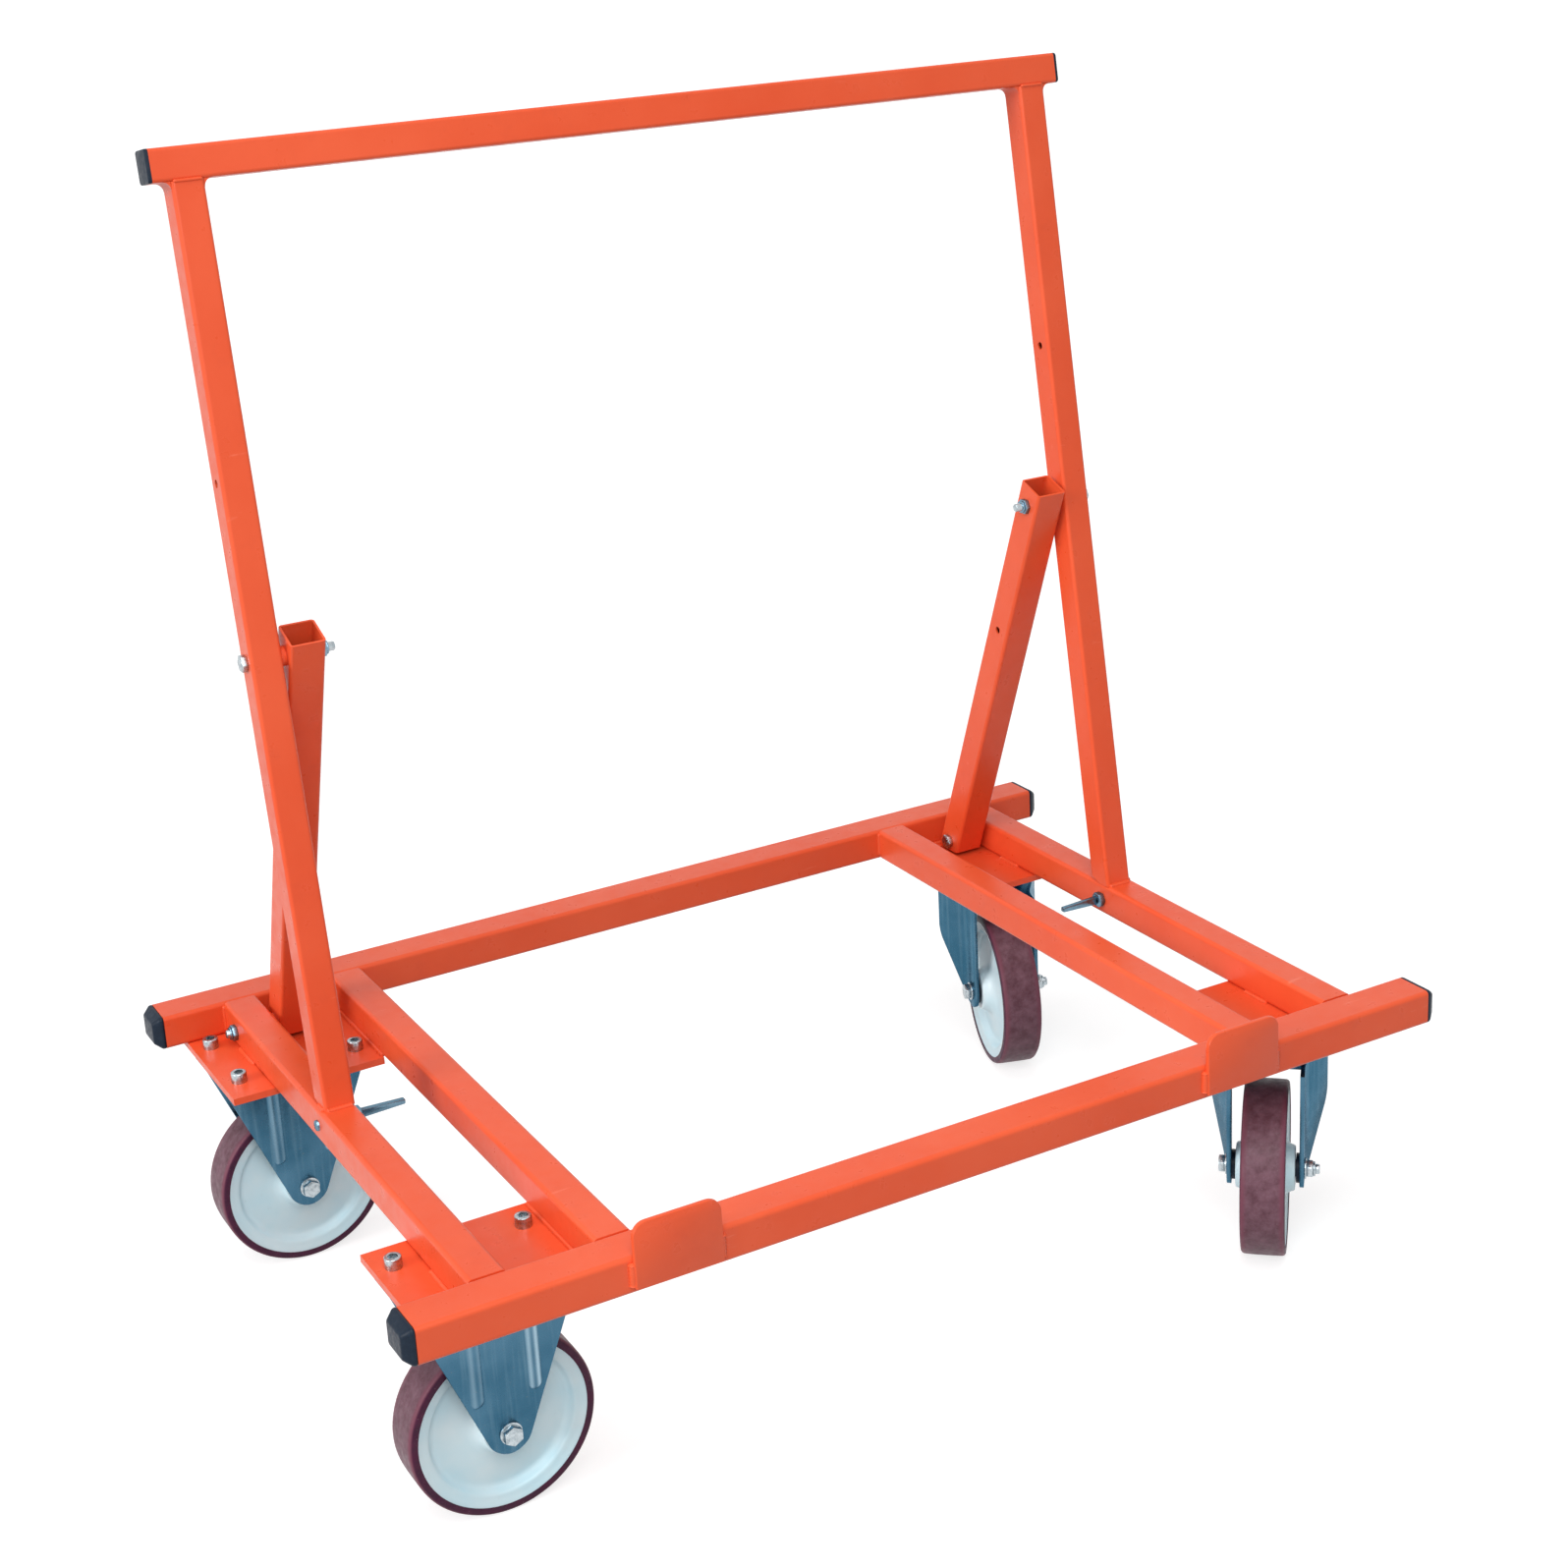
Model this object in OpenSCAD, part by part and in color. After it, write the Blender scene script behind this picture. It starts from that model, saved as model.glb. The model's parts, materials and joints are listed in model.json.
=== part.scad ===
// Drywall cart: a low tube frame on two fixed and two swivel casters, with a leaning back frame
// that sheets of plasterboard rest against while they stand on edge on the rails.
// Millimetres. X runs along the rails, Y from front to rear, Z up.
// The origin is on the floor, under the middle of the base frame.

/* [Base frame] */
// Length of the front and rear rail without their end caps
rail_length = 1225; // [900:5:1600]
// Depth of the base frame over both rails
frame_depth = 840; // [600:5:1000]
// Width of a rail tube, front to rear
rail_width = 50; // [30:1:80]
// Height of every tube in the base frame
tube_height = 40; // [30:1:60]
// Width of a crossbar tube
crossbar_width = 40; // [30:1:60]
// Wall of the base frame tubes
tube_wall = 3; // [2:0.5:5]
// Outside corner radius of the base frame tubes
tube_corner = 5; // [3.5:0.5:8]
// Inside corner radius of the base frame tubes
tube_inner_corner = 2.5; // [1:0.25:4]
// Rail end to the outer side of an outer crossbar
outer_bar_inset = 72.5; // [60:0.5:90]
// Rail end to the outer side of an inner crossbar
inner_bar_inset = 204.5; // [190:0.5:240]
// How far a rail cap stands out of the rail
rail_cap_reach = 13; // [6:0.5:25]
// Straight part of a rail cap before its slopes begin
rail_cap_land = 4; // [2:0.5:8]
// How far a rail cap's face is drawn in at its edges
rail_cap_slope = 7; // [3:0.5:10]
// Depth of the plug of any tube cap
cap_plug_depth = 25; // [10:1:40]
// Wall of the plug of any tube cap
cap_plug_wall = 3; // [2:0.5:5]

/* [Sheet stops] */
// Width of a sheet stop along the rail
stop_width = 96; // [60:1:150]
// Rail end to the near side of a sheet stop
stop_inset = 221; // [150:1:300]
// Height of a sheet stop above the rail
stop_rise = 37; // [15:1:80]
// How far a sheet stop reaches down the rail's face
stop_drop = 34; // [20:1:38]
// Thickness of a sheet stop
stop_thickness = 6; // [4:0.5:10]
// Radius of a sheet stop's top corners
stop_corner = 15; // [5:1:30]

/* [Caster plates] */
// Length of a caster plate along the rails
plate_length = 180; // [150:1:240]
// Width of a caster plate, front to rear
plate_width = 200; // [150:1:260]
// Thickness of a caster plate
plate_thickness = 8; // [5:0.5:12]
// Outer face of the rail to a caster plate
plate_face_inset = 20; // [5:1:45]
// Rail end to the middle of a fixed caster and its plate
caster_end_inset = 115; // [100:0.5:160]
// Rail end to the swivel axis of a swivel caster and the middle of its plate
swivel_end_inset = 124.5; // [105:0.5:160]
// Outer face of the rail to the middle of a caster
caster_face_inset = 127; // [115:1:160]

/* [Caster screws] */
// Spacing of a caster's screws along its plate
screw_spacing_x = 140; // [120:1:160]
// Spacing of a caster's screws across its plate
screw_spacing_y = 105; // [90:0.5:120]
// Thread diameter of a caster screw
screw_d = 12; // [8:1:14]
// Head diameter of a caster screw
screw_head_d = 18; // [13:1:22]
// Head height of a caster screw
screw_head_h = 12; // [8:1:14]
// Hexagon socket of a caster screw, across its flats
screw_socket = 10; // [6:1:12]
// Depth of a caster screw's socket
screw_socket_depth = 6; // [4:1:8]
// Play of a screw or bolt in its hole, all round
bolt_play = 0.5; // [0.25:0.05:1]
// Nut of a caster screw or an axle, across its flats
big_nut_flats = 19; // [17:1:22]
// Height of a caster nut or an axle nut
big_nut_h = 10; // [8:0.5:14]

/* [Casters] */
// Height of a caster from the floor to the top of its plate
caster_height = 255; // [245:1:290]
// Length of a caster's top plate along its screws' longer spacing
top_plate_length = 175; // [160:1:178]
// Width of a caster's top plate
top_plate_width = 140; // [125:1:150]
// Thickness of a caster's top plate
top_plate_thickness = 6; // [4:0.5:10]
// Corner radius of a caster's top plate
top_plate_corner = 8; // [4:1:15]
// Thickness of a fixed fork's legs
fork_sheet = 4; // [3:0.5:6]
// Radius of a fixed fork leg's round end at the axle
fixed_lobe = 24; // [18:0.5:30]
// Half width of a fixed fork leg at its top
fixed_leg_half = 86; // [60:1:87]
// Radius of the upright ribs pressed into a fixed fork's legs
rib_r = 12; // [8:0.5:16]
// How far a rib stands out of the leg
rib_rise = 2.5; // [1.5:0.25:2.5]
// Middle of a fixed fork's leg to each of its two ribs
rib_x = 31; // [24:0.5:36]
// Axle to the round lower end of a rib
rib_end_rise = 46; // [40:1:80]

/* [Swivel heads] */
// Radius of a swivel fork leg's round end at the axle
fork_lobe = 22; // [18:0.5:30]
// Swivel axis to axle, the caster's trail
swivel_trail = 65; // [50:1:75]
// Heading of the front swivel caster's trail in the plan
front_swivel_heading = 228; // [0:1:360]
// Heading of the rear swivel caster's trail in the plan
rear_swivel_heading = 252; // [0:1:360]
// Radius of the round swivel head
head_r = 48; // [42:1:52]
// Depth of the raised race under a swivel top plate
race_depth = 9; // [7:0.5:12]
// Radius of the ball circle
ball_circle_r = 34; // [28:0.5:38]
// Diameter of a swivel ball
ball_d = 8; // [6:0.5:10]
// Balls in a swivel head
ball_count = 14; // [8:1:18]
// Gap between the raised race and the fork's head
race_gap = 1.5; // [1:0.25:2.5]
// Depth of the fork's round head
crown_depth = 12; // [8:0.5:16]
// Thickness of the sheet that joins the fork's legs
saddle_sheet = 5; // [4:0.5:8]
// Thickness of a swivel fork's legs
swivel_sheet = 5; // [3:0.5:6]
// Swivel axis to the leading edge of the legs
leg_lead = 3; // [1:0.5:30]
// Swivel axis to the fold where the legs flare outwards
leg_fold = 52; // [30:1:58]
// How far the legs flare outwards at their leading edge
leg_flare = 24; // [8:1:26]
// Height of the straight leading edge below the head
leg_straight = 65; // [15:1:70]
// How far the joining sheet runs past the swivel axis towards the axle
saddle_tail = 60; // [59:1:64]
// Diameter of the king pin
king_d = 16; // [12:1:20]
// Diameter of the king pin's riveted head
king_head_d = 28; // [22:1:34]
// Height of the king pin's riveted head
king_head_h = 7; // [4:0.5:10]
// Gap between the king pin's head and the fork
king_gap = 0.4; // [0.3:0.1:1]
// Running clearance of turning and sliding fits, all round
running_play = 0.05; // [0.02:0.01:0.1]

/* [Wheels] */
// Top of a wheel to the top of its caster's plate
wheel_headroom = 55; // [45:1:70]
// Width of the tread
tread_width = 50; // [40:1:52]
// Thickness of the tyre
tyre_thickness = 9; // [4:0.5:12]
// Edge radius of the tyre
tyre_edge = 3.5; // [1:0.5:5]
// Length of the hub
hub_length = 68; // [60:1:72]
// Diameter of the hub at its ends
hub_d = 52; // [44:1:60]
// Diameter of the hub where it meets the disc
hub_root_d = 70; // [60:1:80]
// Half thickness of the wheel's disc
disc_half = 15; // [8:0.5:18]
// Width of the step between the disc and the rim's side face
rim_step = 10; // [5:0.5:20]
// Width of the rim's side face
rim_face = 11; // [5:0.5:17]
// How far the rim's outer edge lies behind the tyre's side
rim_recess = 1; // [0.5:0.25:3]
// How far the rim's inner edge lies behind the tyre's side
rim_dish = 4; // [3.5:0.25:7]
// Outside diameter of the roller bearing
bearing_d = 30; // [26:1:36]
// Length of the roller bearing
bearing_length = 60; // [40:1:66]
// Diameter of the bush that the bearing runs on
bush_d = 20; // [17:1:24]
// Flange diameter of a bush
bush_flange_d = 34; // [28:1:40]
// Flange thickness of a bush in a fixed caster
bush_flange = 2; // [1:0.25:4]
// Flange thickness of a bush in a swivel caster
swivel_bush_flange = 4; // [1:0.25:5]
// Gap between the two bushes in the middle of the hub
bush_gap = 1; // [0.5:0.25:3]
// Hub to bush flange, each side
hub_play = 0.4; // [0.3:0.1:1]
// Diameter of the axle bolt
axle_d = 12; // [10:1:14]
// Height of an axle bolt's head
axle_head_h = 7.5; // [6:0.5:10]
// Washer under the head and the nut of an axle, diameter
axle_washer_d = 24; // [22:1:30]
// Washer under the head and the nut of an axle, thickness
axle_washer = 2.5; // [1.5:0.25:4]
// Thread that stands out of an axle nut
axle_tip = 5; // [2:0.5:8]

/* [Back frame] */
// Side of the square post and top bar tube
post_size = 35; // [25:1:45]
// Wall of the post and top bar tube
post_wall = 2.5; // [2:0.25:4]
// Outside corner radius of the post, top bar and strut tubes
post_corner = 4; // [3:0.5:6]
// Inside corner radius of the post, top bar and strut tubes
post_inner_corner = 2; // [1:0.25:3]
// Backward lean of the posts in degrees
post_lean = 9; // [4:0.5:15]
// Front of the base frame to the foot of a post, along the deck
post_foot_setback = 454; // [300:1:600]
// Foot of a post to the underside of the top bar, along the post
post_length = 990; // [700:5:1300]
// Height of the open wedge behind a post's foot
foot_wedge = 5; // [2:0.5:8]
// How far the top bar runs past the posts
top_bar_overhang = 18.5; // [0:0.5:60]
// Thickness of the top bar's flat end plugs outside the tube
bar_cap_reach = 4; // [2:0.5:8]

/* [Struts] */
// Side of the square strut tube
strut_size = 40; // [30:1:45]
// Wall of the strut tube
strut_wall = 2.5; // [2:0.25:4]
// Gap that the spacers keep between post and strut
strut_gap = 6; // [3:0.5:12]
// Foot of a post to the strut's top bolt, along the post
strut_bolt_height = 490; // [350:5:600]
// Strut's top bolt to its open end, along the strut
strut_tail = 25; // [15:1:50]
// Rear of the base frame to the strut's base bolt
strut_base_setback = 90; // [80:1:160]
// Deck to the strut's base bolt
strut_base_drop = 22; // [18:1:26]
// Gap between the strut's foot and the caster plate
strut_foot_gap = 5; // [2:0.5:8]
// Thread diameter of a strut bolt
strut_bolt_d = 10; // [8:1:12]
// Head and nut of a strut bolt, across flats
strut_bolt_flats = 17; // [13:1:19]
// Head height of a strut bolt
strut_head_h = 6.5; // [5:0.5:9]
// Height of a strut bolt's nut
strut_nut_h = 8.5; // [6:0.5:11]
// Thread that stands out of a strut bolt's nut
strut_bolt_tip = 8; // [2:0.5:12]
// Length of the chamfer at a bolt's tip
bolt_chamfer = 2.5; // [1:0.25:4]
// Diameter of a strut's spacer
spacer_d = 22; // [18:1:28]
// Diameter of the spare holes in posts and struts
spare_hole_d = 9; // [6:0.5:12]
// Strut's top bolt to the spare hole, along post or strut
spare_hole_step = 190; // [100:5:260]

/* [Foot pins] */
// Diameter of a foot pin
pin_d = 12; // [8:1:14]
// Deck to the axis of a foot pin
pin_drop = 20; // [16:1:22]
// How far a foot pin's tip stands out of the crossbar
pin_tip = 3; // [1:0.5:8]
// Collar of a foot pin, across flats
pin_collar_flats = 17; // [16:1:28]
// Thickness of a foot pin's collar
pin_collar = 8; // [6:0.5:20]
// Gap between the collar and the crossbar
pin_collar_gap = 0.4; // [0.3:0.1:1]
// Crossbar to the end of a foot pin's handle
pin_reach = 60; // [45:1:65]
// Height of a handle at the collar
handle_root = 10; // [8:0.5:15]
// Height of a handle at its end
handle_end = 6; // [4:0.5:12]
// Thickness of a handle
handle_thickness = 6; // [4:0.5:9]
// Width of the tongue in a post's foot
tongue_width = 16; // [12:0.5:18]
// Length of the tongue inside the post
tongue_root = 80; // [50:1:120]
// Length of the tongue inside the crossbar
tongue_reach = 32; // [28:0.5:33]
// Play of the tongue in the crossbar's slot, all round
tongue_play = 0.5; // [0.3:0.1:1]

/* [Hidden] */
$fn = 64;
// One overrun serves all cuts
over = 1;
deck = caster_height + plate_thickness + tube_height;
bar_bottom = caster_height + plate_thickness;
plate_bottom = caster_height;
half_l = rail_length/2;
half_d = frame_depth/2;
bar_length = frame_depth - 2*rail_width;
fixed_x = half_l - caster_end_inset;
swivel_x = half_l - swivel_end_inset;
caster_y = half_d - caster_face_inset;
plate_y = half_d - plate_face_inset - plate_width/2;
outer_bar_x = half_l - outer_bar_inset - crossbar_width/2;
inner_bar_x = half_l - inner_bar_inset - crossbar_width/2;
outer_bar_outside = half_l - outer_bar_inset;
outer_bar_inside = outer_bar_outside - crossbar_width;
// A caster's height gives its wheel's size
wheel_d = caster_height - wheel_headroom;
axle_z = wheel_d/2;
head_z = caster_height - top_plate_thickness;
leg_inside = hub_length/2 + hub_play + bush_flange;
leg_outside = leg_inside + fork_sheet;
swivel_inside = hub_length/2 + hub_play + swivel_bush_flange;
swivel_outside = swivel_inside + swivel_sheet;
// Posts stand flush with the inner sides of the outer crossbars
post_x = outer_bar_inside + post_size/2;
post_foot_y = post_foot_setback - half_d + post_size/2/cos(post_lean);
bolt_y = post_foot_y + strut_bolt_height*sin(post_lean);
bolt_z = deck + strut_bolt_height*cos(post_lean);
base_bolt_y = half_d - strut_base_setback;
base_bolt_z = deck - strut_base_drop;
strut_angle = atan2(base_bolt_y - bolt_y, bolt_z - base_bolt_z);
strut_span = sqrt(pow(base_bolt_y - bolt_y, 2) + pow(bolt_z - base_bolt_z, 2));
strut_outside = outer_bar_inside - strut_gap;
strut_x = strut_outside - strut_size/2;
strut_inside = strut_outside - strut_size;
pin_z = deck - pin_drop;
pin_y = post_foot_y - pin_drop*tan(post_lean);
tongue_depth = post_size - 2*post_wall;
tongue_x = post_x + post_size/2 - post_wall - post_inner_corner - tongue_width/2;
race_z = head_z - race_depth;
crown_top = race_z - race_gap;
crown_bottom = crown_top - crown_depth;
saddle_bottom = crown_bottom - saddle_sheet;
ball_z = (race_z + crown_top)/2;
rim_r = wheel_d/2 - tyre_thickness;
rim_face_r = rim_r - rim_face;
rim_rise_r = rim_face_r - rim_step;
top_bar_length = 2*(post_x + post_size/2 + top_bar_overhang);

paint = [0.84, 0.26, 0.17];
black = [0.08, 0.08, 0.09];
zinc = [0.62, 0.66, 0.68];
bright = [0.78, 0.79, 0.8];
white = [0.9, 0.92, 0.93];
tyre_red = [0.36, 0.2, 0.24];
bronze = [0.55, 0.42, 0.24];

// Shapes that repeat

// Flat rectangle with round corners, centred
module round_rect(w, h, r) {
  square([w - 2*r, h], center = true);
  square([w, h - 2*r], center = true);
  for (x = [-1, 1], y = [-1, 1]) translate([x*(w/2 - r), y*(h/2 - r)]) circle(r = r);
}

// Cross-section of a tube
module tube_section(w, h, wall, r, inner_r) {
  difference() {
    round_rect(w, h, r);
    round_rect(w - 2*wall, h - 2*wall, inner_r);
  }
}

// Tube along X, centred
module tube_x(length, w, h, wall, r, inner_r) {
  rotate([90, 0, 90]) translate([0, 0, -length/2]) linear_extrude(length)
    tube_section(w, h, wall, r, inner_r);
}

// Tube along Y, centred
module tube_y(length, w, h, wall, r, inner_r) {
  rotate([90, 0, 0]) translate([0, 0, -length/2]) linear_extrude(length)
    tube_section(w, h, wall, r, inner_r);
}

// Round bar along X between two stations
module bar_x(x0, x1, d) {
  translate([x0, 0, 0]) rotate([0, 90, 0]) cylinder(d = d, h = x1 - x0);
}

// Hexagon along X between two stations
module hex_x(x0, x1, flats) {
  translate([x0, 0, 0]) rotate([0, 90, 0]) cylinder(d = flats/cos(30), h = x1 - x0, $fn = 6);
}

// Frame of a post: Z runs up the leaning post from its foot
module in_post(side) {
  translate([side*post_x, post_foot_y, deck]) rotate([-post_lean, 0, 0]) children();
}

// Frame of a strut: Z runs up the strut from its top bolt
module in_strut(side) {
  translate([side*strut_x, bolt_y, bolt_z]) rotate([strut_angle, 0, 0]) children();
}

// Places at the middles of the four casters: side -1 is left, end -1 is front
module at_caster(side, end, z) {
  translate([side < 0 ? -fixed_x : swivel_x, end*caster_y, z]) children();
}

// Places at the four screws of one caster
module at_screws() {
  for (x = [-1, 1], y = [-1, 1]) translate([x*screw_spacing_x/2, y*screw_spacing_y/2, 0]) children();
}

// Swivel frame: origin on the swivel axis at the floor, X towards the axle
module in_swivel(end) {
  at_caster(1, end, 0)
    rotate([0, 0, end < 0 ? front_swivel_heading : rear_swivel_heading]) children();
}

// Frame of a wheel: Z along the axle, origin in the wheel's middle
module in_fixed_wheel(end) {
  at_caster(-1, end, axle_z) rotate([90, 0, 0]) children();
}

module in_swivel_wheel(end) {
  in_swivel(end) translate([swivel_trail, 0, axle_z]) rotate([90, 0, 0]) children();
}

// Base frame

module rail(end) {
  color(paint) translate([0, end*(half_d - rail_width/2), deck - tube_height/2])
    tube_x(rail_length, rail_width, tube_height, tube_wall, tube_corner, tube_inner_corner);
}

module front_rail() { rail(-1); }
module rear_rail() { rail(1); }

module crossbar(x) {
  translate([x, 0, deck - tube_height/2])
    tube_y(bar_length, crossbar_width, tube_height, tube_wall, tube_corner, tube_inner_corner);
}

module left_inner_crossbar() { color(paint) crossbar(-inner_bar_x); }
module right_inner_crossbar() { color(paint) crossbar(inner_bar_x); }

// Outer crossbar: slot for the post's tongue, holes for the foot pin and the strut's base bolt
module outer_crossbar(side) {
  color(paint) difference() {
    crossbar(side*outer_bar_x);
    in_post(side) translate([side*(tongue_x - post_x), 0, 0])
      cube([tongue_width + 2*tongue_play, tongue_depth + 2*tongue_play, 4*tube_wall], center = true);
    translate([0, pin_y, pin_z])
      bar_x(side*outer_bar_x - crossbar_width, side*outer_bar_x + crossbar_width, pin_d + 2*running_play);
    translate([0, base_bolt_y, base_bolt_z])
      bar_x(side*outer_bar_x - crossbar_width, side*outer_bar_x + crossbar_width, strut_bolt_d + 2*bolt_play);
  }
}

module left_outer_crossbar() { outer_crossbar(-1); }
module right_outer_crossbar() { outer_crossbar(1); }

// Hollow plug of a tube cap, along X from zero inwards
module cap_plug(w, h, r) {
  difference() {
    rotate([90, 0, 90]) translate([0, 0, -cap_plug_depth]) linear_extrude(cap_plug_depth) round_rect(w, h, r);
    translate([-cap_plug_depth - over, -w/2 + cap_plug_wall, -h/2 + cap_plug_wall])
      cube([cap_plug_depth + over, w - 2*cap_plug_wall, h - 2*cap_plug_wall]);
  }
}

// Sloped outline of a rail cap: straight land, then a narrower front
module cap_outline(w) {
  polygon([[0, -w/2], [rail_cap_land, -w/2], [rail_cap_reach, rail_cap_slope - w/2],
    [rail_cap_reach, w/2 - rail_cap_slope], [rail_cap_land, w/2], [0, w/2]]);
}

module rail_cap() {
  intersection() {
    rotate([90, 0, 90]) linear_extrude(rail_cap_reach) round_rect(rail_width, tube_height, tube_corner);
    translate([0, 0, -tube_height/2]) linear_extrude(tube_height) cap_outline(rail_width);
    rotate([90, 0, 0]) translate([0, 0, -rail_width/2]) linear_extrude(rail_width) cap_outline(tube_height);
  }
  cap_plug(rail_width - 2*tube_wall, tube_height - 2*tube_wall, tube_inner_corner);
}

module rail_caps() {
  color(black) for (x = [-1, 1], y = [-1, 1])
    translate([x*half_l, y*(half_d - rail_width/2), deck - tube_height/2])
      mirror([x < 0 ? 1 : 0, 0, 0]) rail_cap();
}

// Sheet stop: flat plate on the rail's front face with round top corners
module sheet_stop(side) {
  color(paint) translate([side*(half_l - stop_inset - stop_width/2), -half_d, deck])
    rotate([90, 0, 0]) linear_extrude(stop_thickness) {
      translate([-stop_width/2, -stop_drop]) square([stop_width, stop_drop + stop_rise - stop_corner]);
      translate([stop_corner - stop_width/2, 0]) square([stop_width - 2*stop_corner, stop_rise]);
      for (x = [-1, 1]) translate([x*(stop_width/2 - stop_corner), stop_rise - stop_corner])
        circle(r = stop_corner);
    }
}

module left_sheet_stop() { sheet_stop(-1); }
module right_sheet_stop() { sheet_stop(1); }

// Caster plate under the tubes, with its four screw holes
module caster_plate(side, end) {
  color(paint) difference() {
    at_caster(side, end, 0) translate([0, end*(plate_y - caster_y), plate_bottom + plate_thickness/2])
      cube([plate_length, plate_width, plate_thickness], center = true);
    at_caster(side, end, plate_bottom - over) at_screws()
      cylinder(d = screw_d + 2*bolt_play, h = plate_thickness + 2*over);
  }
}

module front_left_plate() { caster_plate(-1, -1); }
module rear_left_plate() { caster_plate(-1, 1); }
module front_right_plate() { caster_plate(1, -1); }
module rear_right_plate() { caster_plate(1, 1); }

// Back frame

// Post with its strut bolt hole, a spare hole and a foot that stands on its front half
module post(side) {
  color(paint) difference() {
    in_post(side) translate([0, 0, -post_size]) linear_extrude(post_length + post_size)
      tube_section(post_size, post_size, post_wall, post_corner, post_inner_corner);
    translate([side*post_x - post_size, post_foot_y - 2*post_size, deck - 3*post_size])
      cube([2*post_size, 4*post_size, 3*post_size]);
    translate([side*post_x - post_size, post_foot_y, deck]) rotate([90, 0, 90]) linear_extrude(2*post_size)
      polygon([[0, -over], [0, 0], [post_size, 2*foot_wedge], [post_size, -over]]);
    in_post(side) {
      translate([0, 0, strut_bolt_height]) bar_x(-post_size, post_size, strut_bolt_d + 2*bolt_play);
      translate([0, 0, strut_bolt_height + spare_hole_step]) bar_x(-post_size, post_size, spare_hole_d);
    }
  }
}

module left_post() { post(-1); }
module right_post() { post(1); }

// Tongue in the foot of a post that takes the foot pin inside the crossbar
module tongue(side) {
  color(paint) difference() {
    in_post(side) translate([side*(tongue_x - post_x) - tongue_width/2, -tongue_depth/2, -tongue_reach])
      cube([tongue_width, tongue_depth, tongue_reach + tongue_root]);
    translate([0, pin_y, pin_z])
      bar_x(side*outer_bar_x - crossbar_width, side*outer_bar_x + crossbar_width, pin_d + 2*running_play);
  }
}

module left_tongue() { tongue(-1); }
module right_tongue() { tongue(1); }

// Frame of the top bar: origin in the middle of the bar, leaning with the posts
module in_top_bar() {
  translate([0, post_foot_y, deck]) rotate([-post_lean, 0, 0])
    translate([0, 0, post_length + post_size/2]) children();
}

module top_bar() {
  color(paint) in_top_bar()
    tube_x(top_bar_length, post_size, post_size, post_wall, post_corner, post_inner_corner);
}

module top_bar_caps() {
  color(black) in_top_bar() for (x = [-1, 1]) mirror([x < 0 ? 1 : 0, 0, 0])
    translate([top_bar_length/2, 0, 0]) {
      rotate([90, 0, 90]) linear_extrude(bar_cap_reach) round_rect(post_size, post_size, post_corner);
      cap_plug(post_size - 2*post_wall, post_size - 2*post_wall, post_inner_corner);
    }
}

// Strut: square cut open top, foot cut level above the caster plate
module strut(side) {
  color(paint) difference() {
    in_strut(side) translate([0, 0, -strut_span - strut_size])
      linear_extrude(strut_span + strut_size + strut_tail)
      tube_section(strut_size, strut_size, strut_wall, post_corner, post_inner_corner);
    translate([side*strut_x, base_bolt_y, bar_bottom + strut_foot_gap])
      translate([-strut_size, -3*strut_size, -3*strut_size]) cube([2*strut_size, 6*strut_size, 3*strut_size]);
    in_strut(side) {
      bar_x(-strut_size, strut_size, strut_bolt_d + 2*bolt_play);
      translate([0, 0, -spare_hole_step]) bar_x(-strut_size, strut_size, spare_hole_d);
      translate([0, 0, -strut_span]) bar_x(-strut_size, strut_size, strut_bolt_d + 2*bolt_play);
    }
  }
}

module left_strut() { strut(-1); }
module right_strut() { strut(1); }

// Shank along X with a chamfered tip at its far end
module shank_x(x0, x1, d) {
  bar_x(x0, x1 - bolt_chamfer, d);
  translate([x1 - bolt_chamfer, 0, 0]) rotate([0, 90, 0])
    cylinder(d1 = d, d2 = d - bolt_chamfer, h = bolt_chamfer);
}

// Strut bolts at the posts: head outside, tip on the strut's inner side
module strut_top_bolts() {
  length = outer_bar_inside + post_size - strut_inside + strut_nut_h + strut_bolt_tip;
  color(bright) for (side = [-1, 1]) translate([0, bolt_y, bolt_z]) mirror([side > 0 ? 1 : 0, 0, 0])
    translate([-outer_bar_inside - post_size, 0, 0]) {
      hex_x(-strut_head_h, 0, strut_bolt_flats);
      shank_x(0, length, strut_bolt_d);
    }
}

// Strut bolts at the base: head on the strut's inner side, tip outside the crossbar
module strut_base_bolts() {
  length = outer_bar_outside - strut_inside + strut_nut_h + strut_bolt_tip/2;
  color(bright) for (side = [-1, 1]) translate([0, base_bolt_y, base_bolt_z]) mirror([side < 0 ? 1 : 0, 0, 0])
    translate([strut_inside, 0, 0]) {
      hex_x(-strut_head_h, 0, strut_bolt_flats);
      shank_x(0, length, strut_bolt_d);
    }
}

module nut_x(x0, height, flats, bore) {
  difference() {
    hex_x(x0, x0 + height, flats);
    bar_x(x0 - over, x0 + height + over, bore);
  }
}

module strut_nuts() {
  color(zinc) for (side = [0, 1]) mirror([side, 0, 0]) {
    translate([0, bolt_y, bolt_z])
      nut_x(strut_inside - strut_nut_h, strut_nut_h, strut_bolt_flats, strut_bolt_d);
    translate([0, base_bolt_y, base_bolt_z])
      nut_x(outer_bar_outside, strut_nut_h, strut_bolt_flats, strut_bolt_d);
  }
}

module spacer() {
  difference() {
    bar_x(strut_outside, outer_bar_inside, spacer_d);
    bar_x(strut_outside - over, outer_bar_inside + over, strut_bolt_d + 2*bolt_play);
  }
}

module strut_spacers() {
  color(paint) for (side = [0, 1]) mirror([side, 0, 0]) {
    translate([0, bolt_y, bolt_z]) spacer();
    translate([0, base_bolt_y, base_bolt_z]) spacer();
  }
}

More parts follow.
